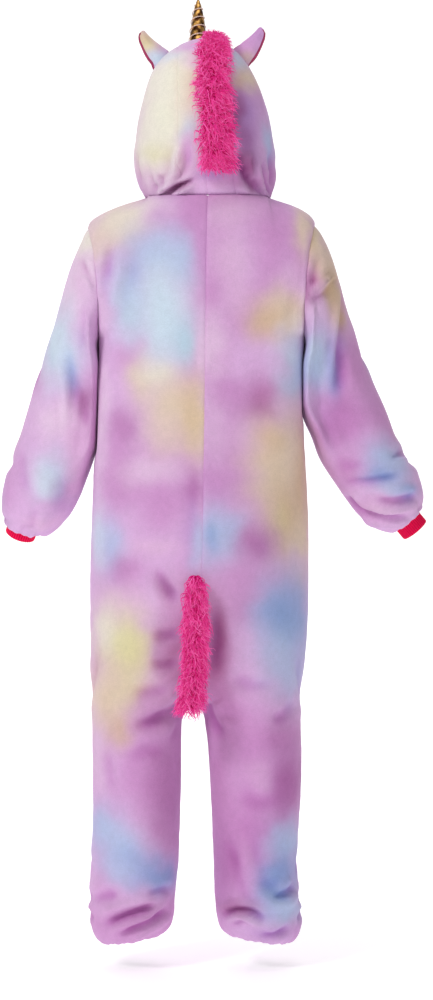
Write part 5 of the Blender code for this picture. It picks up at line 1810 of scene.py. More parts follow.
@dataclass
class Hood:
    """The hood: two side panels and the two halves of the strip over its crown."""

    body: Body
    waves: float = 0.0016
    side_flat: tuple[float, float] = (0.26, 0.34)
    side_area: float = 0.061
    crown_flat: tuple[float, float] = (0.050, 0.44)

    def oval(self, row: HoodRow, side: Side, turn: float) -> Vector:
        """A point of a level row: turn is 0 at centre back and pi at centre front."""
        behind = turn <= math.pi / 2
        reach = row.back - row.mid_y if behind else row.mid_y - row.front
        dip = 0.0 if behind else row.dip * math.cos(turn) ** 2
        x = row.mid_x + side.value * row.half * math.sin(turn)
        return Vector((x, row.mid_y + reach * math.cos(turn), row.z - dip))

    def dome_level(self, angle: float, face: float) -> HoodRow:
        """The dome's level row at an angle above its widest level."""
        shrink = math.cos(math.radians(angle))
        return DOME._replace(
            z=DOME.z + DOME_HEIGHT * math.sin(math.radians(angle)),
            half=DOME.half * shrink,
            back=DOME.mid_y + (DOME.back - DOME.mid_y) * shrink,
            front=DOME.mid_y + (DOME.front - DOME.mid_y) * shrink,
            face=face,
        )

    def dome_point(self, off_centre: float, angle: float, lift: float = 0.0) -> Vector:
        """A point of the dome.

        Args:
            off_centre: how far it is from the dome's middle line.
            angle: 0 at the back, 90 on top and 180 in front.
            lift: how far it stands off the hood.

        Returns:
            The point.
        """
        turn = math.radians(angle)
        reach = DOME.back - DOME.mid_y if angle <= 90 else DOME.mid_y - DOME.front
        shrink = math.sqrt(max(0.0, 1 - (off_centre / DOME.half) ** 2))
        x, y, z = off_centre, reach * shrink * math.cos(turn), DOME_HEIGHT * shrink * math.sin(turn)
        out = Vector((x / DOME.half**2, y / reach**2, z / DOME_HEIGHT**2)).normalized()
        return Vector((DOME.mid_x + x, DOME.mid_y + y, DOME.z + z)) + out * lift

    def neck(self, side: Side, degrees: float) -> Vector:
        """The neck seam again, one seam's gap higher."""
        return self.body.neck_point(degrees, side) + Vector((0, 0, 2 * SEAM_GAP))

    def side_rows(self, side: Side) -> list[list[Vector]]:
        """A side panel's rows, each from the crown strip's seam round to the face opening."""
        first, last = SIDE_NECK_DEG[0], SIDE_NECK_DEG[-1]
        shares = [(d - first) / (last - first) for d in SIDE_NECK_DEG]
        rows = [[self.neck(side, degrees) for degrees in SIDE_NECK_DEG]]
        for row in HOOD + tuple(self.dome_level(angle, face) for angle, face in DOME_ROWS):
            start = math.asin(CROWN_HALF / row.half)
            end = math.pi - math.asin(row.face / row.half)
            rows.append([self.oval(row, side, mix(start, end, share)) for share in shares])
        top = self.dome_point(side.value * CROWN_HALF, 90)
        rows.append([top.copy() for _ in shares])
        return rows

    def crown_rows(self, side: Side) -> list[list[Vector]]:
        """The rows of half the crown strip, up the back and over to the forehead edge."""
        rows = [[self.neck(side, degrees) for _, degrees in CROWN_SHARES]]
        for row in HOOD:
            turns = [math.asin(share * CROWN_HALF / row.half) for share, _ in CROWN_SHARES]
            rows.append([self.oval(row, side, turn) for turn in turns])
        shrink = math.sqrt(1 - (CROWN_HALF / DOME.half) ** 2)
        back = [math.degrees(math.asin(min(1.0, math.sin(math.radians(a)) / shrink))) for a, _ in DOME_ROWS]
        front = [180 - angle for angle, (a, _) in zip(back, DOME_ROWS) if a >= CORNER_DEG]
        for angle in back + [90] + list(reversed(front)):
            arch = FOREHEAD_ARCH if angle == front[0] else 0.0
            rows.append([self.dome_point(side.value * share * CROWN_HALF, angle - arch * (1 - share**2))
                         for share, _ in CROWN_SHARES])
        return rows

    def crease(self, panel: Panel) -> Array:
        """The hood's folds and slack over one of its panels."""
        moved = slack(panel, self.waves, 131) + creased(panel, HOOD_FOLDS, 400)
        moved *= ease(panel.reach[Edge.BOTTOM], -0.004, 0.010)
        for swell in HOOD_SWELLS:
            away = np.hypot(panel.rest[..., 0] - swell.x, panel.rest[..., 2] - swell.z) / swell.across
            moved += swell.lift * np.exp(-(away**2))
        return moved

    def build(self, room: Workroom) -> None:
        """Builds the four pieces."""
        for side in Side:
            self.build_side(side, room)
            self.build_crown(side, room)

    def build_side(self, side: Side, room: Workroom) -> None:
        """Builds a side panel, with its face edge turned as a hem."""
        rows = sewn(self.side_rows(side), (Edge.FIRST, Edge.BOTTOM))
        split = len(HOOD) + FACE_ROWS
        rows = rows[:split] + sewn(rows[split:], (Edge.LAST,))
        panel = Panel(rows, (0, 0, 0.12), step=0.0048)
        colours = HOOD_DYE.colours(panel.rest)
        corner = DOME.z + DOME_HEIGHT * math.sin(math.radians(CORNER_DEG))
        joined = ease(panel.rest[..., 2], corner - 0.006, corner + 0.004)
        moved = self.crease(panel)
        # Painted shade in the creases and painted highlight on the ridges.
        colours = painted_fold_shading(colours, moved)
        moved += stitched(panel, (Edge.FIRST, Edge.BOTTOM))
        moved += Seam(Edge.LAST).of(panel) * joined + Hem(Edge.LAST).of(panel) * (1 - joined)
        panel.push(moved)
        node = f"hood_side_{side.word}"
        room.shell(f"{node}_panel", panel, "fleece", colours, [node], self.side_flat, self.side_area,
                   Hold.HUNG, weld=True)

    def build_crown(self, side: Side, room: Workroom) -> None:
        """Builds half of the crown strip."""
        rows = sewn(self.crown_rows(side), (Edge.FIRST, Edge.LAST, Edge.BOTTOM))
        panel = Panel(rows, (0, 0, 0.12), step=0.0048)
        colours = HOOD_DYE.colours(panel.rest)
        moved = self.crease(panel)
        # Painted shade in the creases and painted highlight on the ridges.
        colours = painted_fold_shading(colours, moved)
        moved += stitched(panel, (Edge.FIRST, Edge.LAST, Edge.BOTTOM))
        panel.push(moved + Hem(Edge.TOP).of(panel))
        node = f"hood_crown_{side.word}"
        room.shell(f"{node}_panel", panel, "fleece", colours, [node], self.crown_flat, None,
                   Hold.HUNG, full=(Edge.TOP,))

    def height_over(self, x: float, y: float) -> float:
        """Height of the dome over a place."""
        reach = DOME.back - DOME.mid_y if y > DOME.mid_y else DOME.mid_y - DOME.front
        left = 1 - ((x - DOME.mid_x) / DOME.half) ** 2 - ((y - DOME.mid_y) / reach) ** 2
        return DOME.z + DOME_HEIGHT * math.sqrt(max(0.0, left))


# ---- ears --------------------------------------------------------------------------------------


class EarRow(NamedTuple):
    """A row of an ear from its base to its tip: width and lean are shares of half the base."""

    along: float
    width: float
    lean: float


EAR_ROWS = (
    EarRow(0.0, 1.0, 0.0), EarRow(0.12, 0.95, -0.05), EarRow(0.30, 0.86, -0.13), EarRow(0.50, 0.72, -0.18),
    EarRow(0.70, 0.56, -0.17), EarRow(0.88, 0.42, -0.10), EarRow(0.97, 0.28, -0.02), EarRow(1.0, 0.12, 0.0),
)
EARS = {
    Side.LEFT: (Vector((0.0870, 0, 0.2460)), Vector((0.0605, 0, 0.2720)), Vector((0.1130, 0, 0.3090))),
    Side.RIGHT: (Vector((-0.0795, 0, 0.2490)), Vector((-0.0515, 0, 0.2770)), Vector((-0.1050, 0, 0.3150))),
}
EAR_DYE = {
    Side.LEFT: DyeBath(
        spots(
            (BEIGE, 104, 292, 25, 25, 95), (YELLOW, 101, 283, 18, 16, 55), (TAN, 108, 299, 14, 13, 45),
            (ICE, 83, 259, 20, 16, 90), (MIST, 79, 256, 14, 14, 40),
        ),
        seed=43,
    ),
    Side.RIGHT: DyeBath(
        spots(
            (VIOLET, -97, 302, 22, 18, 45), (LILAC, -86, 284, 25, 22, 45), (BEIGE, -79, 259, 16, 13, 60),
        ),
        seed=45,
    ),
}


@dataclass
class Ear:
    """An ear: a back leaf of fleece and a pink lining, sewn together round their edge."""

    side: Side
    hood: Hood
    outer: Vector
    inner: Vector
    tip: Vector
    y: float = -0.012
    cup: float = 0.006
    twist: float = 0.004
    clear: float = 0.0012
    puff: float = 0.0030
    flat: tuple[float, float] = (0.041, 0.067)
    flat_area: float = 0.0021

    def rows(self, off: float) -> list[list[Vector]]:
        """Rows of a leaf that lies off behind (above 0) or in front of the ear's middle."""
        base = self.outer.lerp(self.inner, 0.5)
        half = (self.inner - self.outer) / 2
        rows = []
        for along, width, lean in EAR_ROWS:
            row = []
            for across in (-1.0, -0.5, 0.0, 0.5, 1.0):
                sideways = lean + across * width
                point = base.lerp(self.tip, along) + half * sideways
                point.y = self.y + off - self.twist * sideways - self.cup * (across * width) ** 2
                if along == 0:
                    point.z = self.hood.height_over(point.x, point.y) + self.clear
                row.append(point)
            rows.append(row)
        return rows

    def build(self, room: Workroom) -> None:
        """Builds the two leaves."""
        for layer, sign, finish in (("back", 1, "fleece"), ("lining", -1, "ear_lining")):
            rows = self.rows(sign * (CLOTH + 2 * SEAM_GAP))
            middle = rows[3][2] - Vector((0, sign * 0.1, 0))
            panel = Panel(rows, tuple(middle), step=0.0022, near=(0.0008,))
            colours = EAR_DYE[self.side].colours(panel.rest)
            edges = np.minimum.reduce([panel.reach[e] for e in (Edge.FIRST, Edge.LAST, Edge.TOP)])
            moved = self.puff * ease(edges, 0.0, 0.014) - 0.0006 + 0.0005 * Waves(151, 0.014).at(panel.rest)
            panel.push(moved)
            if sign < 0:
                rim = 0.0040 * (1 - ease(panel.reach[Edge.FIRST], 0.0, 0.014))
                rim += 0.0024 * (1 - ease(panel.reach[Edge.LAST], 0.0, 0.010))
                rim *= ease(panel.reach[Edge.BOTTOM], -0.006, 0.02)
                panel.points += rim[..., None] * np.array((self.outer - self.inner).normalized())
                panel.points[..., 2] -= 0.0022 * (1 - ease(panel.reach[Edge.TOP], 0.0, 0.010))
            node = f"ear_{self.side.word}_{layer}"
            room.shell(f"{node}_leaf", panel, finish, colours, [node], self.flat, self.flat_area, Hold.LAID,
                       full=(Edge.FIRST, Edge.LAST, Edge.TOP))


# ---- horn --------------------------------------------------------------------------------------


class HornRow(NamedTuple):
    """The horn's radius at a distance from its tip."""

    from_tip: float
    radius: float


HORN_ROWS = (
    HornRow(0.000, 0.0022), HornRow(0.004, 0.0036), HornRow(0.012, 0.0058), HornRow(0.024, 0.0086),
    HornRow(0.040, 0.0112), HornRow(0.060, 0.0134), HornRow(0.105, 0.0170), HornRow(0.200, 0.0220),
)


@dataclass
class Horn:
    """A stuffed gold horn with a cord wound round it, which nips it in."""

    hood: Hood
    tip: Vector = field(default_factory=lambda: Vector((0.0114, -0.118, 0.3870)))
    foot: Vector = field(default_factory=lambda: Vector((0.0114, -0.062, 0.2450)))
    cord_radius: float = 0.0011
    pitch: float = 0.019
    start: float = 0.010
    stop: float = 0.105
    sides: int = 12
    clear: float = 0.0012
    bulge: float = 0.0011

    def point(self, from_tip: float, turn: float, grow: float = 0.0, share: float = 1.0) -> Vector:
        """A point of the horn.

        Args:
            from_tip: the distance down from its tip.
            turn: the angle round it.
            grow: how far the point stands off it.
            share: how far out from its middle the point is.

        Returns:
            The point.
        """
        axis = (self.foot - self.tip).normalized()
        sideways = Vector((1, 0, 0))
        ahead = axis.cross(sideways)
        out = sideways * math.cos(turn) + ahead * math.sin(turn)
        radius = between(HORN_ROWS, from_tip, "radius", by="from_tip")
        return self.tip + axis * from_tip + out * (radius * share + grow)

    def length(self, turn: float, share: float) -> float:
        """How far down a line of the horn runs before it rests on the hood."""
        low, high = self.stop / 2, HORN_ROWS[-1].from_tip
        for _ in range(30):
            middle = (low + high) / 2
            point = self.point(middle, turn, share=share)
            if point.z > self.hood.height_over(point.x, point.y) + 2 * self.clear:
                low = middle
            else:
                high = middle
        return low

    def swell(self, from_tip: float, turn: float) -> float:
        """How far the stuffing swells the cloth between two turns of the cord."""
        place = (from_tip - self.start) / self.pitch - turn / (2 * math.pi)
        part = place - math.floor(place)
        held = float(ease(np.array(from_tip), 0.002, 0.016) * (1 - ease(np.array(from_tip), 0.112, 0.135)))
        return self.bulge * held * (math.sin(math.pi * part) ** 0.6 - 0.75) - 0.0002

    def build(self, room: Workroom) -> None:
        """Builds the horn and its cord."""
        count, levels = 48, 96
        turns = [2 * math.pi * k / count for k in range(count)]
        ends = [self.length(t, 1.0) for t in turns]
        rows = [[self.point(0.0, t, share=s) for t in turns] for s in (0.25, 0.7)]
        for level in range(levels + 1):
            places = [end * level / levels for end in ends]
            rows.append([self.point(place, t, self.swell(place, t)) for t, place in zip(turns, places)])
        rows += [[self.point(self.length(t, s), t, share=s) for t in turns] for s in (0.65, 0.25)]
        points = np.array([[tuple(p) for p in row] for row in rows])
        wave = Waves(163, 0.009).at(points) + 0.5 * Waves(164, 0.004).at(points)
        middle = points.mean(axis=1, keepdims=True)
        away = points - middle
        away /= np.linalg.norm(away, axis=2, keepdims=True)
        fine = ease(np.arange(len(rows)), 3, 12) * (1 - ease(np.arange(len(rows)), levels - 6, levels + 1))
        points = points + away * (wave * 0.00045 * fine[:, None])[..., None]
        faces = closed_faces(len(rows), count)
        horn = room.piece("horn_stuffed", points.reshape(-1, 3), faces, "gold_cloth", nodes=["horn"])
        self.build_cord(room)

    def build_cord(self, room: Workroom) -> None:
        """Builds the cord as two plies twisted round each other on the horn's own helix."""
        steps = 460
        points, faces = [], []
        length = self.stop - self.start
        for ply in (0.0, math.pi):
            centres = []
            for k in range(steps + 1):
                from_tip = self.start + length * k / steps
                turn = 2 * math.pi * (from_tip - self.start) / self.pitch
                twist = ply + 2 * math.pi * k / 9.0
                grow = self.cord_radius * 0.9 + self.cord_radius * 0.45 * math.cos(twist)
                centre = self.point(from_tip + self.cord_radius * 0.45 * math.sin(twist), turn, grow)
                centres.append(tuple(centre))
            tube(points, faces, np.array(centres), np.full(steps + 1, self.cord_radius * 0.58), 5)
        room.piece("horn_thread", np.array(points), faces, "cord", nodes=["horn_cord"])


def closed_faces(rows: int, wide: int, flip: bool = False) -> list[list[int]]:
    """The faces of a solid through rings, with both ends capped.

    Args:
        rows: how many rings.
        wide: how many points each has.
        flip: turns every face.

    Returns:
        The faces as lists of numbers.
    """
    faces = []
    for row in range(rows - 1):
        for k in range(wide):
            n = (k + 1) % wide
            faces.append([row * wide + k, row * wide + n, (row + 1) * wide + n, (row + 1) * wide + k])
    faces.append(list(reversed(range(wide))))
    faces.append(list(range((rows - 1) * wide, rows * wide)))
    return [face[::-1] for face in faces] if flip else faces


def tube(points: list, faces: list, line: Array, radii: Array, sides: int) -> None:
    """Adds a closed tube along a line to a mesh in the making.

    Args:
        points: the mesh's points, added to.
        faces: its faces, added to.
        line: the tube's middle.
        radii: its radius at each place.
        sides: how many sides it has.
    """
    ahead = np.gradient(line, axis=0)
    ahead /= np.linalg.norm(ahead, axis=1, keepdims=True)
    up = np.array((0.0, 0.0, 1.0)) if abs(ahead[0, 2]) < 0.9 else np.array((1.0, 0.0, 0.0))
    first = np.cross(ahead, up)
    first /= np.linalg.norm(first, axis=1, keepdims=True)
    second = np.cross(ahead, first)
    base = len(points)
    for centre, a, b, radius in zip(line, first, second, radii):
        for k in range(sides):
            turn = 2 * math.pi * k / sides
            points.append(tuple(centre + (a * math.cos(turn) + b * math.sin(turn)) * radius))
    for face in closed_faces(len(line), sides):
        faces.append([base + v for v in face])


# ---- fur ---------------------------------------------------------------------------------------


# Painted shade: the backing is a deep magenta, standing for the shade deep in the pile between the locks.
BACKING_PAINTED_SHADE = "B8044F"  # the colour of what the locks grow on


@dataclass
class Pile:
    """Locks of shaggy fur on a backing.

    Attributes:
        name: the piece's name.
        count: how many locks there are; not used.
        length: the shortest and longest lock.
        root: a lock's radius at its root.
        tufts: how many tufts the locks gather in.
        seed: chooses their places and shapes.
        droop: how far a lock's tip sinks, as a share of its length.
        root_shade: the colour at the roots, a painted shade deep in the pile.
        light: the palest colour at the tips.
        middle: the colour between them.
    """

    name: str
    count: int
    length: tuple[float, float]
    root: float
    tufts: int
    seed: int
    droop: float = 0.30
    root_shade: str = "C40066"
    light: str = "FFA0E4"
    middle: str = "FF26A6"

    def grow(self, room: Workroom, roots: Array, ways: Array, full: Array) -> None:
        """Grows the locks.

        Args:
            room: makes the piece.
            roots: where each lock starts.
            ways: which way each lock sets out.
            full: the share of its length and of its paleness that each lock has.
        """
        chance = np.random.default_rng(self.seed)
        count = len(roots)
        ways = ways + chance.normal(0, 0.30, (count, 3))
        ways /= np.linalg.norm(ways, axis=1, keepdims=True)
        lengths = chance.uniform(*self.length, count) * full[:, 0]
        lengths *= 1 + 0.15 * Waves(self.seed, 0.02).at(roots)
        chosen = chance.choice(count, self.tufts, replace=False)
        nearest = np.linalg.norm(roots[:, None] - roots[chosen][None], axis=2).argmin(axis=1)
        leader = chosen[nearest]
        tips = roots[leader] + ways[leader] * lengths[leader][:, None]
        segments, sides = 7, 4
        shares = np.linspace(0, 1, segments + 1)
        across = np.cross(ways, chance.normal(0, 1, (count, 3)))
        across /= np.linalg.norm(across, axis=1, keepdims=True)
        other = np.cross(ways, across)
        swing, start = chance.uniform(0.07, 0.21, count), chance.uniform(0, 6.28, count)
        radius = self.root * chance.uniform(0.7, 1.25, count)
        rings, shades = [], []
        tone = chance.uniform(0, 1, count) ** 1.3 * 0.85
        tone += 0.15 * (Waves(self.seed + 4, 0.012).at(roots) + 1) / 2
        tone *= full[:, 1]
        root_shade, middle, light = linear(self.root_shade), linear(self.middle), linear(self.light)
        for share in shares:
            straight = roots + ways * (lengths * share)[:, None]
            straight[:, 2] -= self.droop * lengths * share**2
            wave = np.sin(start + share * 6.5) - np.sin(start)
            straight += across * (lengths * swing * wave)[:, None]
            wave = np.cos(start + share * 4.0) - np.cos(start)
            straight += other * (lengths * swing * 0.7 * wave)[:, None]
            pull = tips - (roots + ways * lengths[:, None])
            centre = straight + pull * (0.34 * share**1.4)
            width = radius * max(0.12, (1 - 0.55 * share - 0.45 * share**4))
            ring = [centre + (across * math.cos(a) + other * math.sin(a)) * width[:, None]
                    for a in (2 * math.pi * k / sides for k in range(sides))]
            rings.append(np.stack(ring, axis=1))
            body = middle + (light - middle) * (share**0.8 * (0.20 + 0.80 * tone))[:, None]
            # Painted shade: each lock darkens towards its root, inside the pile, and more so where its
            # paleness is low.
            depth = float(ease(np.array(share), -0.1, 0.65))
            colour = root_shade + (body - root_shade) * (depth * (0.40 + 0.60 * tone))[:, None]
            shades.append(np.repeat(colour[:, None], sides, axis=1))
        points = np.stack(rings, axis=1).reshape(-1, 3)
        colours = np.stack(shades, axis=1).reshape(-1, 3)
        one = np.array(closed_faces(segments + 1, sides))
        base = np.arange(count)[:, None, None] * (segments + 1) * sides
        faces = (one[None] + base).reshape(-1, 4).tolist()
        room.piece(self.name, points, faces, "fur", colours)


def backing(room: Workroom, node: str, rows: list[list[tuple[float, ...]]], seed: int) -> None:
    """Builds the padded backing that a strip of fur grows on.

    Args:
        room: makes the piece.
        node: the solid that it stands for.
        rows: its rings of points.
        seed: makes it uneven.
    """
    points = np.array(rows)
    points += 0.0008 * Waves(seed, 0.008).at(points)[..., None]
    high, wide = points.shape[:2]
    colours = np.tile(linear(BACKING_PAINTED_SHADE), (high * wide, 1))
    faces = closed_faces(high, wide)
    room.piece(f"{node}_backing", points.reshape(-1, 3), faces, "fur", colours, [node])


class ManeRow(NamedTuple):
    """The mane at an angle of the dome: how far it leans, its half width and its height."""

    angle: float
    lean: float
    half: float
    height: float


MANE = (
    ManeRow(-25, -0.024, 0.010, 0.012), ManeRow(-15, -0.024, 0.025, 0.024), ManeRow(-2, -0.022, 0.030, 0.028),
    ManeRow(14, -0.019, 0.030, 0.028), ManeRow(32, -0.014, 0.030, 0.028), ManeRow(52, -0.014, 0.029, 0.027),
    ManeRow(70, -0.017, 0.023, 0.017), ManeRow(86, -0.020, 0.014, 0.008), ManeRow(97, -0.021, 0.008, 0.004),
    ManeRow(104, -0.021, 0.004, 0.003),
)


@dataclass
class Mane:
    """A strip of shaggy fur over the crown and down the back of the hood."""

    hood: Hood
    slow: float = 0.30
    clear: float = 0.0012
    core: float = 0.40
    spread: float = 0.64
    locks: int = 3000

    @staticmethod
    def size(angle: float) -> list[float]:
        """The mane's lean, half width and height at an angle of the dome."""
        return [between(MANE, angle, name, by="angle") for name in ("lean", "half", "height")]

    def surface(self, angle: float, off_centre: float, lift: float) -> Vector:
        """A place above the hood, on its dome or, at angles below 0, on the back under it."""
        if angle >= 0:
            return self.hood.dome_point(off_centre, angle, lift)
        z = DOME.z + DOME_HEIGHT * math.sin(math.radians(angle)) * self.slow
        half, mid_y = between(HOOD, z, "half"), between(HOOD, z, "mid_y")
        reach = between(HOOD, z, "back") - mid_y
        turn = math.asin(off_centre / half)
        flat = Vector((half * math.sin(turn), reach * math.cos(turn), 0))
        out = Vector((flat.x / half**2, flat.y / reach**2, 0)).normalized()
        return Vector((between(HOOD, z, "mid_x"), mid_y, z)) + flat + out * lift

    def build(self, room: Workroom) -> None:
        """Builds the backing and the locks on it."""
        rows = []
        for angle in np.linspace(-19, 102, 60):
            lean, half, height = self.size(angle)
            ring = []
            for k in range(20):
                turn = 2 * math.pi * k / 20
                lift = 2 * self.clear + height * self.core * (1 + math.sin(turn)) / 2
                off = lean + half * (self.spread + 0.04) * math.cos(turn)
                ring.append(tuple(self.surface(angle, off, lift)))
            rows.append(ring)
        backing(room, "mane", rows, 171)
        self.grow(room)

    def grow(self, room: Workroom) -> None:
        """Grows the locks: up and out on the crown, swept down and to the right below."""
        chance = np.random.default_rng(7)
        roots, ways, full = [], [], []
        while len(roots) < self.locks:
            angle, u = chance.uniform(-14, 102), chance.uniform(-1, 1)
            lean, half, height = self.size(angle)
            slow = self.slow if angle < 0 else 1.0
            if chance.uniform() > half / 0.033 * (0.45 + 0.55 * slow):
                continue
            off = lean + half * self.spread * u
            lift = 2 * self.clear + height * self.core * math.sqrt(max(0.0, 1 - u * u)) * 0.8
            root = self.surface(angle, off, lift)
            up = (self.surface(angle, off, lift + 0.01) - root).normalized()
            down = (self.surface(angle - 3, off, lift) - root).normalized()
            side = up.cross(down).normalized()
            outward = side * (u * (0.75 + 0.45 * abs(u))) * (1 if side.x > 0 else -1)
            swirl = float(Waves(181, 0.030).at(np.array(tuple(root))))
            way = up * 0.75 + outward + down * (0.25 + 0.35 * (1 - angle / 100)) + side * 0.5 * swirl
            way += Vector((-0.30, 0, 0)) * (1 - max(0.0, angle) / 100)
            roots.append(tuple(root))
            ways.append(tuple(way.normalized()))
            # Painted shade: locks down the mane's middle, where the pile parts, get less paleness and stay
            # deeper in colour.
            full.append((0.5 + 0.5 * half / 0.030, 0.55 + 0.45 * abs(u)))
        pile = Pile("mane_locks", self.locks, (0.015, 0.032), 0.00120, 190, 11)
        pile.grow(room, np.array(roots), np.array(ways), np.array(full))


class TailRow(NamedTuple):
    """The tail at a height: its middle, its half width and depth, and how far it is off the seat."""

    z: float
    x: float
    half: float
    depth: float
    off: float


TAIL = (
    TailRow(-0.911, 0.0265, 0.011, 0.010, 0.034), TailRow(-0.892, 0.0245, 0.0230, 0.018, 0.026),
    TailRow(-0.862, 0.0203, 0.0240, 0.019, 0.020), TailRow(-0.825, 0.0165, 0.0225, 0.019, 0.012),
    TailRow(-0.785, 0.0148, 0.0225, 0.019, 0.007), TailRow(-0.745, 0.0142, 0.0230, 0.019, 0.005),
    TailRow(-0.705, 0.0132, 0.0215, 0.018, 0.004), TailRow(-0.676, 0.0125, 0.0160, 0.014, 0.004),
    TailRow(-0.664, 0.0125, 0.0070, 0.006, 0.004),
)


@dataclass
class Tail:
    """A hanging tail of the same fur, sewn on at its top."""

    core: float = 0.48
    locks: int = 3000

    def centre(self, z: float) -> tuple[Vector, float, float]:
        """The tail's middle, half width and half depth at a height."""
        half, depth = between(TAIL, z, "half"), between(TAIL, z, "depth")
        y = between(BODY, z, "back") + between(TAIL, z, "off") + depth
        return Vector((between(TAIL, z, "x"), y, z)), half, depth

    def build(self, room: Workroom) -> None:
        """Builds the backing and the locks on it."""
        rows = []
        for z in np.linspace(TAIL[0].z + 0.010, TAIL[-1].z - 0.004, 60):
            middle, half, depth = self.centre(z)
            ring = []
            for k in range(20):
                turn = 2 * math.pi * k / 20
                out = Vector((half * self.core * math.cos(turn), depth * self.core * math.sin(turn), 0))
                ring.append(tuple(middle + out))
            rows.append(ring)
        backing(room, "tail", rows, 191)
        chance = np.random.default_rng(9)
        roots, ways, full = [], [], []
        for _ in range(self.locks):
            z, turn = chance.uniform(-0.899, -0.668), chance.uniform(0, 2 * math.pi)
            middle, half, depth = self.centre(z)
            out = Vector((math.cos(turn), math.sin(turn), 0))
            roots.append(tuple(middle + Vector((half * out.x, depth * out.y, 0)) * self.core))
            swirl = float(Waves(197, 0.028).at(np.array(roots[-1])))
            way = out * 0.62 + Vector((0.25 * swirl, 0.1, -0.72))
            ways.append(tuple(way.normalized()))
            full.append((0.55 + 0.45 * half / 0.024, 0.8))
        pile = Pile("tail_locks", self.locks, (0.015, 0.030), 0.00112, 190, 13, 0.15)
        pile.grow(room, np.array(roots), np.array(ways), np.array(full))


# ---- front closing -----------------------------------------------------------------------------


PLACKET_DYE = spots(
    (BLUE, 0, -120, 50, 40, 90), (BEIGE, 0, -250, 50, 40, 80), (ORCHID, 0, -360, 50, 50, 80),
    (ICE, 0, -460, 50, 40, 80), (TAN, 0, -580, 50, 40, 70), (MIST, 0, -700, 50, 40, 80),
)


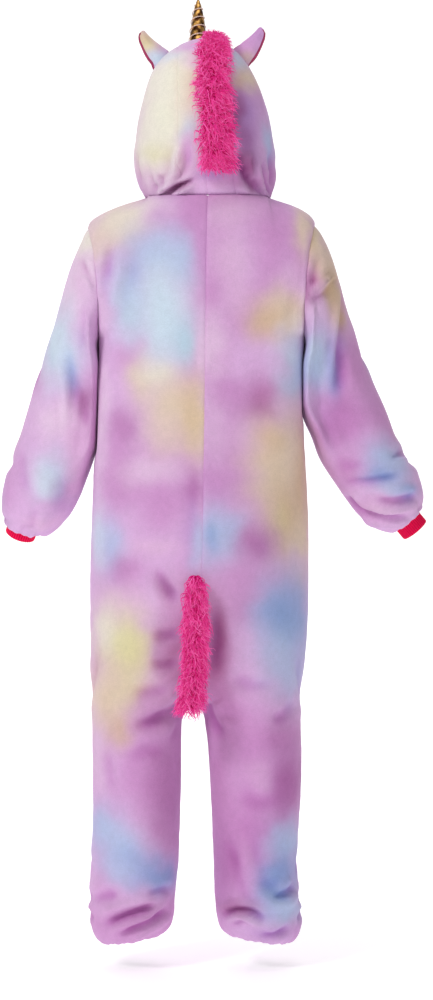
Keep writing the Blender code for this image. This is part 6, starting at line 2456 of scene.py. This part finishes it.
@dataclass
class Closing:
    """The placket over the centre front, its stitches and its buttons."""

    body: Body
    half: float = 0.019
    thick: float = 0.0030
    clear: float = 0.0012
    top: float = -0.062
    end: float = -0.760
    stitch: float = 0.0034
    inset: float = 0.0048
    button_zs: tuple[float, ...] = (-0.085, -0.205, -0.325, -0.445, -0.565, -0.685)
    button_radius: float = 0.0095
    button_thick: float = 0.0034
    hole_at: float = 0.0021
    hole_depth: float = 0.0016
    flat: tuple[float, float] = (0.040, 0.70)

    def point(self, x: float, z: float, lift: float) -> Vector:
        """A place on the front, moved out by lift."""
        seam = between(BODY, z, "in_left")
        depth = between(BODY, z, "front")
        if z > BODY[-1].z:
            height = (z - BODY[-1].z) / (self.body.neck_point(180, Side.LEFT).z - BODY[-1].z)
            depth = self.body.chest_point(Side.LEFT, Face.FRONT, COLUMNS[Face.FRONT][0], height).y
        side = "out_left" if x >= seam else "out_right"
        half = abs(between(BODY, z, side) - seam)
        return Vector((x, depth * math.sqrt(1 - ((x - seam) / half) ** 2) - lift, z))

    def heights(self) -> list[float]:
        """The heights of the front panels' own rows that the placket covers."""
        rise = self.body.neck_point(180, Side.LEFT).z - BODY[-1].z
        chest = [BODY[-1].z + rise * share_across(a) for a in self.body.armhole_degrees[1:]]
        own = [z for z in [level.z for level in BODY] + chest if self.end < z < self.top]
        return [self.end] + own + [self.top]

    def build(self, room: Workroom) -> None:
        """Builds the placket, the stitches and the buttons."""
        rows = []
        for z in self.heights():
            seam = between(BODY, z, "in_left")
            shares = (-1.0, -0.5, 0.0, 0.5, 1.0)
            rows.append([self.point(seam + s * self.half, z, self.clear + self.thick) for s in shares])
        panel = Panel(rows, (0, 0, -0.4), step=0.0035, near=(0.001, 0.0025))
        colours = DyeBath(PLACKET_DYE, seed=88).colours(panel.rest)
        edges = np.minimum.reduce(list(panel.reach.values()))
        line = -0.0009 * np.exp(-(((edges - self.inset) / 0.0012) ** 2))
        line -= 0.0008 * np.exp(-((edges / 0.0014) ** 2))
        panel.push(line + 0.0004 * Waves(211, 0.02).at(panel.rest))
        room.shell("placket_strip", panel, "fleece", colours, ["placket"], self.flat, None, Hold.HUNG,
                   thickness=self.thick)
        self.build_stitches(room)
        for number, z in enumerate(self.button_zs, 1):
            self.build_button(room, number, z)

    def build_stitches(self, room: Workroom) -> None:
        """Builds the lines of stitches along both sides of the placket."""
        points, faces = [], []
        inset = self.half - self.inset
        for side in (-1, 1):
            z = self.end + 0.006
            while z < self.top - 0.006:
                line = []
                for share in np.linspace(-0.5, 0.5, 5):
                    place = z + share * self.stitch * 0.72
                    seam = between(BODY, place, "in_left")
                    rise = self.clear + self.thick - 0.0006 + 0.0005 * math.cos(share * math.pi)
                    line.append(tuple(self.point(seam + side * inset, place, rise)))
                tube(points, faces, np.array(line), np.array((0.0002, 0.00038, 0.00042, 0.00038, 0.0002)), 5)
                z += self.stitch
        room.piece("placket_stitches", np.array(points), faces, "cord")

    def build_button(self, room: Workroom, number: int, z: float) -> None:
        """Builds a button with a rim and four holes, and its thread.

        Args:
            room: makes the pieces.
            number: the button's number.
            z: its height.
        """
        seam = between(BODY, z, "in_left")
        up = (self.point(seam, z + 0.01, 0) - self.point(seam, z - 0.01, 0)).normalized()
        facing = Vector((0, -up.z, up.y)).normalized()
        sideways = up.cross(facing)
        foot = self.point(seam, z, self.clear + self.thick + 3 * SEAM_GAP)
        radius, thick, count = self.button_radius, self.button_thick, 64
        profile = [(0.94, 0.0), (1.0, 0.14), (1.0, 0.55), (0.97, 0.85), (0.90, 1.0), (0.80, 1.0),
                   (0.72, 0.86), (0.66, 0.74)]
        profile += [(share, 0.70 + 0.03 * share) for share in np.linspace(0.60, 0.04, 15)]
        turns = [2 * math.pi * k / count for k in range(count)]
        rows = [[(0.5 * radius * math.cos(turn), 0.5 * radius * math.sin(turn), 0.0) for turn in turns]]
        for share, height in profile:
            ring = []
            for turn in turns:
                x, y, top = share * radius * math.cos(turn), share * radius * math.sin(turn), height * thick
                if share < 0.61:
                    away = math.hypot(abs(x) - self.hole_at, abs(y) - self.hole_at)
                    top -= self.hole_depth * (1 - float(ease(np.array(away), 0.0008, 0.0012)))
                ring.append((x, y, top))
            rows.append(ring)
        frame_of = np.array([tuple(sideways), tuple(up), tuple(facing)])
        node = f"button_{number}"
        points = np.array(rows).reshape(-1, 3) @ frame_of + np.array(foot)
        room.piece(f"{node}_disc", points, closed_faces(len(rows), count), "buttons", nodes=[node])
        threads, faces = [], []
        for turn in (0.25, 0.75):
            for offset in (-0.0003, 0.0003):
                a, b = math.cos(math.pi * turn), math.sin(math.pi * turn)
                line = []
                for place in np.linspace(-0.0029, 0.0029, 9):
                    rise = thick * 0.72 + 0.0007 * math.cos(place / 0.003 * math.pi / 2) ** 0.5
                    line.append((a * place - b * offset, b * place + a * offset, rise))
                local = np.array(line) @ frame_of + np.array(foot)
                tube(threads, faces, local, np.full(9, 0.00028), 5)
        room.piece(f"{node}_thread", np.array(threads), faces, "cord")


# ---- studio ------------------------------------------------------------------------------------


class Lamp(NamedTuple):
    """A round soft light: where it stands, how wide it is in metres, and its power in watts."""

    name: str
    place: tuple[float, float, float]
    size: float
    power: float


LAMPS = (
    Lamp("key", (2.7, 3.1, 2.2), 1.3, 92.0),
    Lamp("fill", (-2.2, 3.8, 0.0), 2.4, 20.0),
    Lamp("top", (0.0, 0.4, 3.0), 2.2, 26.0),
    Lamp("front", (0.4, -3.0, 0.8), 2.4, 26.0),
)
LIT = (0.0, 0.0, -0.5)  # what the lamps point at


@dataclass
class Studio:
    """A white sweep, soft lights and the camera."""

    floor: float = -1.373
    camera_at: tuple[float, float, float] = (-0.0225, 4.5, -0.5364)
    lens: float = 90.0
    sky: float = 0.28

    def build(self, room: Workroom) -> None:
        """Builds the sweep, the lights and the camera."""
        bpy.context.scene.view_settings.view_transform = "Standard"
        self.build_sweep(room)
        self.build_lights()
        data = bpy.data.cameras.new("camera")
        data.lens, data.sensor_width = self.lens, 36.0
        camera = bpy.data.objects.new("camera", data)
        camera.location = self.camera_at
        camera.rotation_euler = (math.pi / 2, 0.0, math.pi)
        bpy.context.scene.collection.objects.link(camera)
        bpy.context.scene.camera = camera

    def build_sweep(self, room: Workroom) -> None:
        """Builds the floor, which curves up into a wall behind."""
        line = [(9.0, 0.0), (1.0, 0.0), (-2.2, 0.0)]
        line += [(-2.2 - 1.2 * math.sin(turn), 1.2 - 1.2 * math.cos(turn))
                 for turn in np.linspace(0.1, math.pi / 2, 14)]
        line.append((-3.4, 6.5))
        points = [(x, y, self.floor + z) for y, z in line for x in (-7.0, 7.0)]
        faces = [[2 * k, 2 * k + 1, 2 * k + 3, 2 * k + 2] for k in range(len(line) - 1)]
        sweep = room.piece("studio_sweep", np.array(points), faces, "studio_white")

    def build_lights(self) -> None:
        """Lights the studio softly from all round, a little more from above and the camera's left."""
        world = bpy.data.worlds.new("studio")
        world.use_nodes = True
        world.node_tree.nodes["Background"].inputs["Color"].default_value = (1.0, 1.0, 1.0, 1.0)
        world.node_tree.nodes["Background"].inputs["Strength"].default_value = self.sky
        bpy.context.scene.world = world
        for lamp in LAMPS:
            data = bpy.data.lights.new(lamp.name, "AREA")
            data.shape, data.size, data.energy = "DISK", lamp.size, lamp.power
            light = bpy.data.objects.new(lamp.name, data)
            light.location = lamp.place
            aim = Vector(LIT) - Vector(lamp.place)
            light.rotation_euler = aim.to_track_quat("-Z", "Y").to_euler()
            bpy.context.scene.collection.objects.link(light)


def main() -> None:
    """Builds the onesie piece by piece, and the studio round it."""
    logging.basicConfig(level=logging.INFO, format="%(name)s: %(message)s")
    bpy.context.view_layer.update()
    room = Workroom()
    room.cut()
    body = Body()
    body.build(room)
    for side in Side:
        Sleeve(side).build(room)
    hood = Hood(body)
    hood.build(room)
    for side in Side:
        Ear(side, hood, *EARS[side]).build(room)
    Horn(hood).build(room)
    Mane(hood).build(room)
    Tail().build(room)
    Closing(body).build(room)
    Studio().build(room)


if __name__ == "__main__":
    main()
